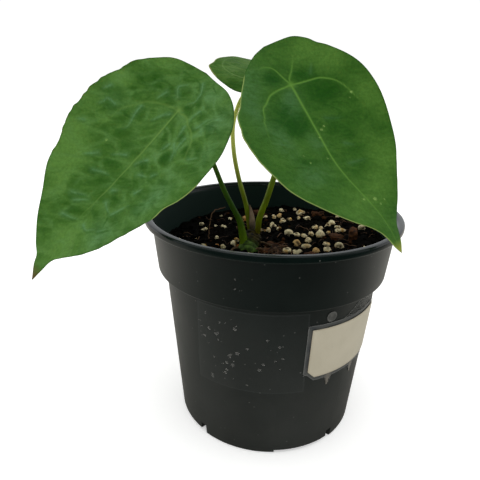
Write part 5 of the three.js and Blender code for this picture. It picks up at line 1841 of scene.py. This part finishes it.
inward = np.minimum(np.minimum(height - low, high - height), side_in)
past_side = np.clip(np.maximum(LABEL_FROM - angle, angle - LABEL_TO), 0, None) * MM_PER_DEGREE
below = label_low(np.maximum(angle, LABEL_FROM)) - height
past_end = np.clip(np.maximum(below, height - LABEL_HIGH), 0, None)
apart = np.hypot(past_side, past_end) * (1 - 0.7 * swell * (height < LABEL_LOW))
drip = np.broadcast_to(swell, height.shape) * eased((LABEL_LOW - height) / 1.5)
wrinkle = noise_over(angle, height, 0.4, 0.3, 7.0)
out = FILM_OUT + 0.12 + 0.05 * wrinkle
points, faces = sheet_solid(on_wall(angle, height, out), on_wall(angle, height, out - FILM_THICK))
label_film, tree, shader = new_finish("label_film", IOR=1.4)
edge_line = ranged(tree, value_of(tree, "inward"), 0.8, 0.1)
clouds = mottled(tree, rgb(0.045, 0.05, 0.052), rgb(0.085, 0.086, 0.08), 130.0, 1.0)
# The grey line along the cut edge is a painted highlight.
colour = laid_on(tree, clouds["Colour"], rgb(0.14, 0.142, 0.135), edge_line, 0.7)
colour = mix_colours(tree, value_of(tree, "drip"), colour, rgb(0.155, 0.14, 0.115))
link(colour, shader, "Base Color")
link(scaled(tree, clouds["Mask"], 0.15, 0.3), shader, "Roughness")
near_label = ranged(tree, value_of(tree, "apart"), 2.8, 1.8, 0.08, 0.9)
opaque = maths(tree, "MAXIMUM", times(tree, edge_line, 0.5), near_label)
link(opaque, shader, "Alpha")
values = {"inward": inward, "apart": apart, "drip": drip}
values = {key: np.tile(value.ravel(), 2) for key, value in values.items()}
make_piece("clear_film", points, faces, label_film, "label_film", ["label_film"], values)

# %% [markdown]
# Above the label's left corner sits a small round sticker, worn grey with a lighter
# rim. It is a thin disc on the wall with a slightly raised edge. Rings of points
# round its middle keep the edge crisp.

# %% Round sticker
STICKER_AT, STICKER_HEIGHT, STICKER_RADIUS, STICKER_OUT = -58.9, 78.9, 2.6, 0.18
shares = np.array([0, 0.2, 0.4, 0.6, 0.75, 0.86, 0.93, 0.97, 1.0])
sides = 64
turn = even_turns(sides)
reach = STICKER_RADIUS * shares[:, None] * (1 + 0.015 * np.sin(3 * turn + 1))[None, :]
heights = STICKER_HEIGHT + reach * np.sin(turn)
angles = STICKER_AT + np.degrees(reach * np.cos(turn) / wall_radius(STICKER_HEIGHT))
lift = 0.16 + 0.05 * np.exp(-(((shares - 0.9) / 0.05) ** 2)) - 0.08 * (shares > 0.98)
front = on_wall(angles, heights, STICKER_OUT + lift[:, None] + 0 * reach)
back = on_wall(angles, heights, STICKER_OUT + 0 * reach)
rings = len(shares)
faces = grid_faces(rings, sides, closed=True)
faces += grid_faces(rings, sides, closed=True, start=rings * sides, flip=True)
last, half = (rings - 1) * sides, rings * sides
for k in range(sides):
    after = (k + 1) % sides
    faces.append([last + k, last + after, half + last + after, half + last + k])
worn, tree, shader = new_finish("worn_sticker", Roughness=0.5)
face = mottled(tree, rgb(0.045, 0.046, 0.042), rgb(0.1, 0.1, 0.09), 420.0, 1.0)
rim = ranged(tree, value_of(tree, "reach"), 0.7, 0.92)
colour = laid_on(tree, face["Colour"], rgb(0.13, 0.13, 0.12), rim, 0.3)
link(colour, shader, "Base Color")
link(bump(tree, face["Mask"], 0.05, 0.5), shader, "Normal")
values = {"reach": np.tile(np.repeat(shares, sides), 2)}
points = np.vstack([front.reshape(-1, 3), back.reshape(-1, 3)])
make_piece("grey_sticker", points, faces, worn, "sticker_grey", ["round_sticker"], values, merge=True)

# %% [markdown]
# ## Room, light and camera
# The plant stands on a wide white sheet that glows a little where the camera sees it,
# so the picture's ground is white all over, with only a faint soft shadow by the foot.
# The pot's gloss mirrors that floor: bright at its sides, which face the lit sheet
# behind it, and dark in front, where the room is dark. So the floor gets darker
# towards the front for glossy rays only.

# %% Floor
FLOOR_SIZE, DARK_UNTIL, BRIGHT_FROM, BRIGHT_LEFT = 6.0, -0.22, 0.05, 0.3
floor_mesh = bpy.data.meshes.new("floor")
corners = [(x * FLOOR_SIZE, y * FLOOR_SIZE, 0) for x, y in ((-1, -1), (1, -1), (1, 1), (-1, 1))]
floor_mesh.from_pydata(corners, [], [[0, 1, 2, 3]])
floor = bpy.data.objects.new("floor", floor_mesh)
put_in_scene(floor)
floor_white, tree, shader = new_finish(
    "floor_white", Roughness=0.9, Specular_IOR_Level=0.0, Emission_Strength=0.38
)
rays = node(tree, "LightPath").outputs
sheet = mottled(tree, rgb(0.92, 0.92, 0.92), rgb(0.94, 0.94, 0.94), 3.0, 1.0)["Colour"]
where = node(tree, "SeparateXYZ", {0: place_in(tree)}).outputs
ahead = scaled(tree, where[0], -BRIGHT_LEFT, where[1])
behind = ranged(tree, ahead, DARK_UNTIL, BRIGHT_FROM)
mirrored = mix_colours(tree, behind, rgb(0.035, 0.042, 0.042), rgb(0.68, 0.66, 0.61))
link(mix_colours(tree, rays["Is Glossy Ray"], sheet, mirrored), shader, "Base Color")
link(mix_colours(tree, rays["Is Camera Ray"], rgb(0, 0, 0), rgb(1, 1, 1)), shader, "Emission Color")
floor_mesh.materials.append(floor_white)
print("floor:", FLOOR_SIZE * 2, "m square")

# %% [markdown]
# The light is a wide soft box above and slightly in front, a weaker one on each side,
# and a white surround, which is darker in front for glossy rays. The box above draws
# the bright line along the lip. The side ones turn the pot's flanks grey while its
# middle stays black, as the dark camera side gives it nothing to mirror.

# %% Surround and soft boxes
world = bpy.data.worlds.new("white_room")
bpy.context.scene.world = world
world.use_nodes = True
tree = world.node_tree
for old in list(tree.nodes):
    tree.nodes.remove(old)
rays = node(tree, "LightPath").outputs
shown = node(tree, "Background", {"Color": rgb(1, 1, 1), "Strength": 1.05})
way = node(tree, "SeparateXYZ", {0: node(tree, "TexCoord").outputs["Generated"]}).outputs[1]
from_behind = ranged(tree, way, -0.75, 0.45, 0.07, 0.95)
mirrored = node(tree, "Background", {"Color": rgb(0.94, 0.97, 1), "Strength": from_behind})
lighting = node(tree, "Background", {"Color": rgb(1, 1, 0.98), "Strength": 0.86})
sockets = {0: rays["Is Glossy Ray"], 1: lighting.outputs[0], 2: mirrored.outputs[0]}
unseen = node(tree, "MixShader", sockets).outputs[0]
both = node(tree, "MixShader", {0: rays["Is Camera Ray"], 1: unseen, 2: shown.outputs[0]})
node(tree, "OutputWorld", {"Surface": both.outputs[0]})


def soft_box(name, place, aim, width, height, power, tint=(1, 1, 1)):
    light = bpy.data.lights.new(name, "AREA")
    light.shape = "RECTANGLE"
    light.size, light.size_y = width, height
    light.energy = power
    light.color = tint
    lamp = bpy.data.objects.new(name, light)
    lamp.location = place
    lamp.rotation_euler = (Vector(aim) - Vector(place)).to_track_quat("-Z", "Y").to_euler()
    put_in_scene(lamp)
    print(name, "gives", power, "W")


MIDDLE = (0, 0, 0.12)
soft_box("box_above", (-0.1, -0.15, 1.3), MIDDLE, 1.0, 1.0, 3.4, (0.95, 0.98, 1))
soft_box("box_left", (-1.1, 0.25, 0.45), MIDDLE, 0.7, 0.9, 1.2, (1, 0.98, 0.95))
soft_box("box_right", (1.1, 0.3, 0.45), MIDDLE, 0.6, 0.8, 0.7, (1, 0.99, 0.97))

# %% [markdown]
# The camera stands close, as high as the upper leaves, and looks down at the pot. Its
# place and its directions were fitted to the pot's rim, step and foot as they lie in
# the picture. The length of its lens sets how much of the scene it takes in.

# %% Camera
CAMERA_PLACE = Vector((0, -0.23039, 0.18046))
CAMERA_RIGHT = Vector((0.99678, 0.07813, 0.01808))
CAMERA_UP = Vector((-0.04383, 0.34209, 0.93865))
FOCAL_LENGTH, SENSOR, NEAREST = 34.8, 36.0, 0.01
lens = bpy.data.cameras.new("camera")
lens.lens, lens.sensor_width, lens.sensor_height = FOCAL_LENGTH, SENSOR, SENSOR
lens.clip_start = NEAREST
camera = bpy.data.objects.new("camera", lens)
backwards = CAMERA_RIGHT.cross(CAMERA_UP).normalized()
turn_matrix = Matrix((CAMERA_RIGHT, CAMERA_UP, backwards)).transposed()
camera.matrix_world = Matrix.Translation(CAMERA_PLACE) @ turn_matrix.to_4x4()
put_in_scene(camera)
bpy.context.scene.camera = camera
bpy.context.scene.view_settings.view_transform = "Standard"
print("camera at", tuple(CAMERA_PLACE))
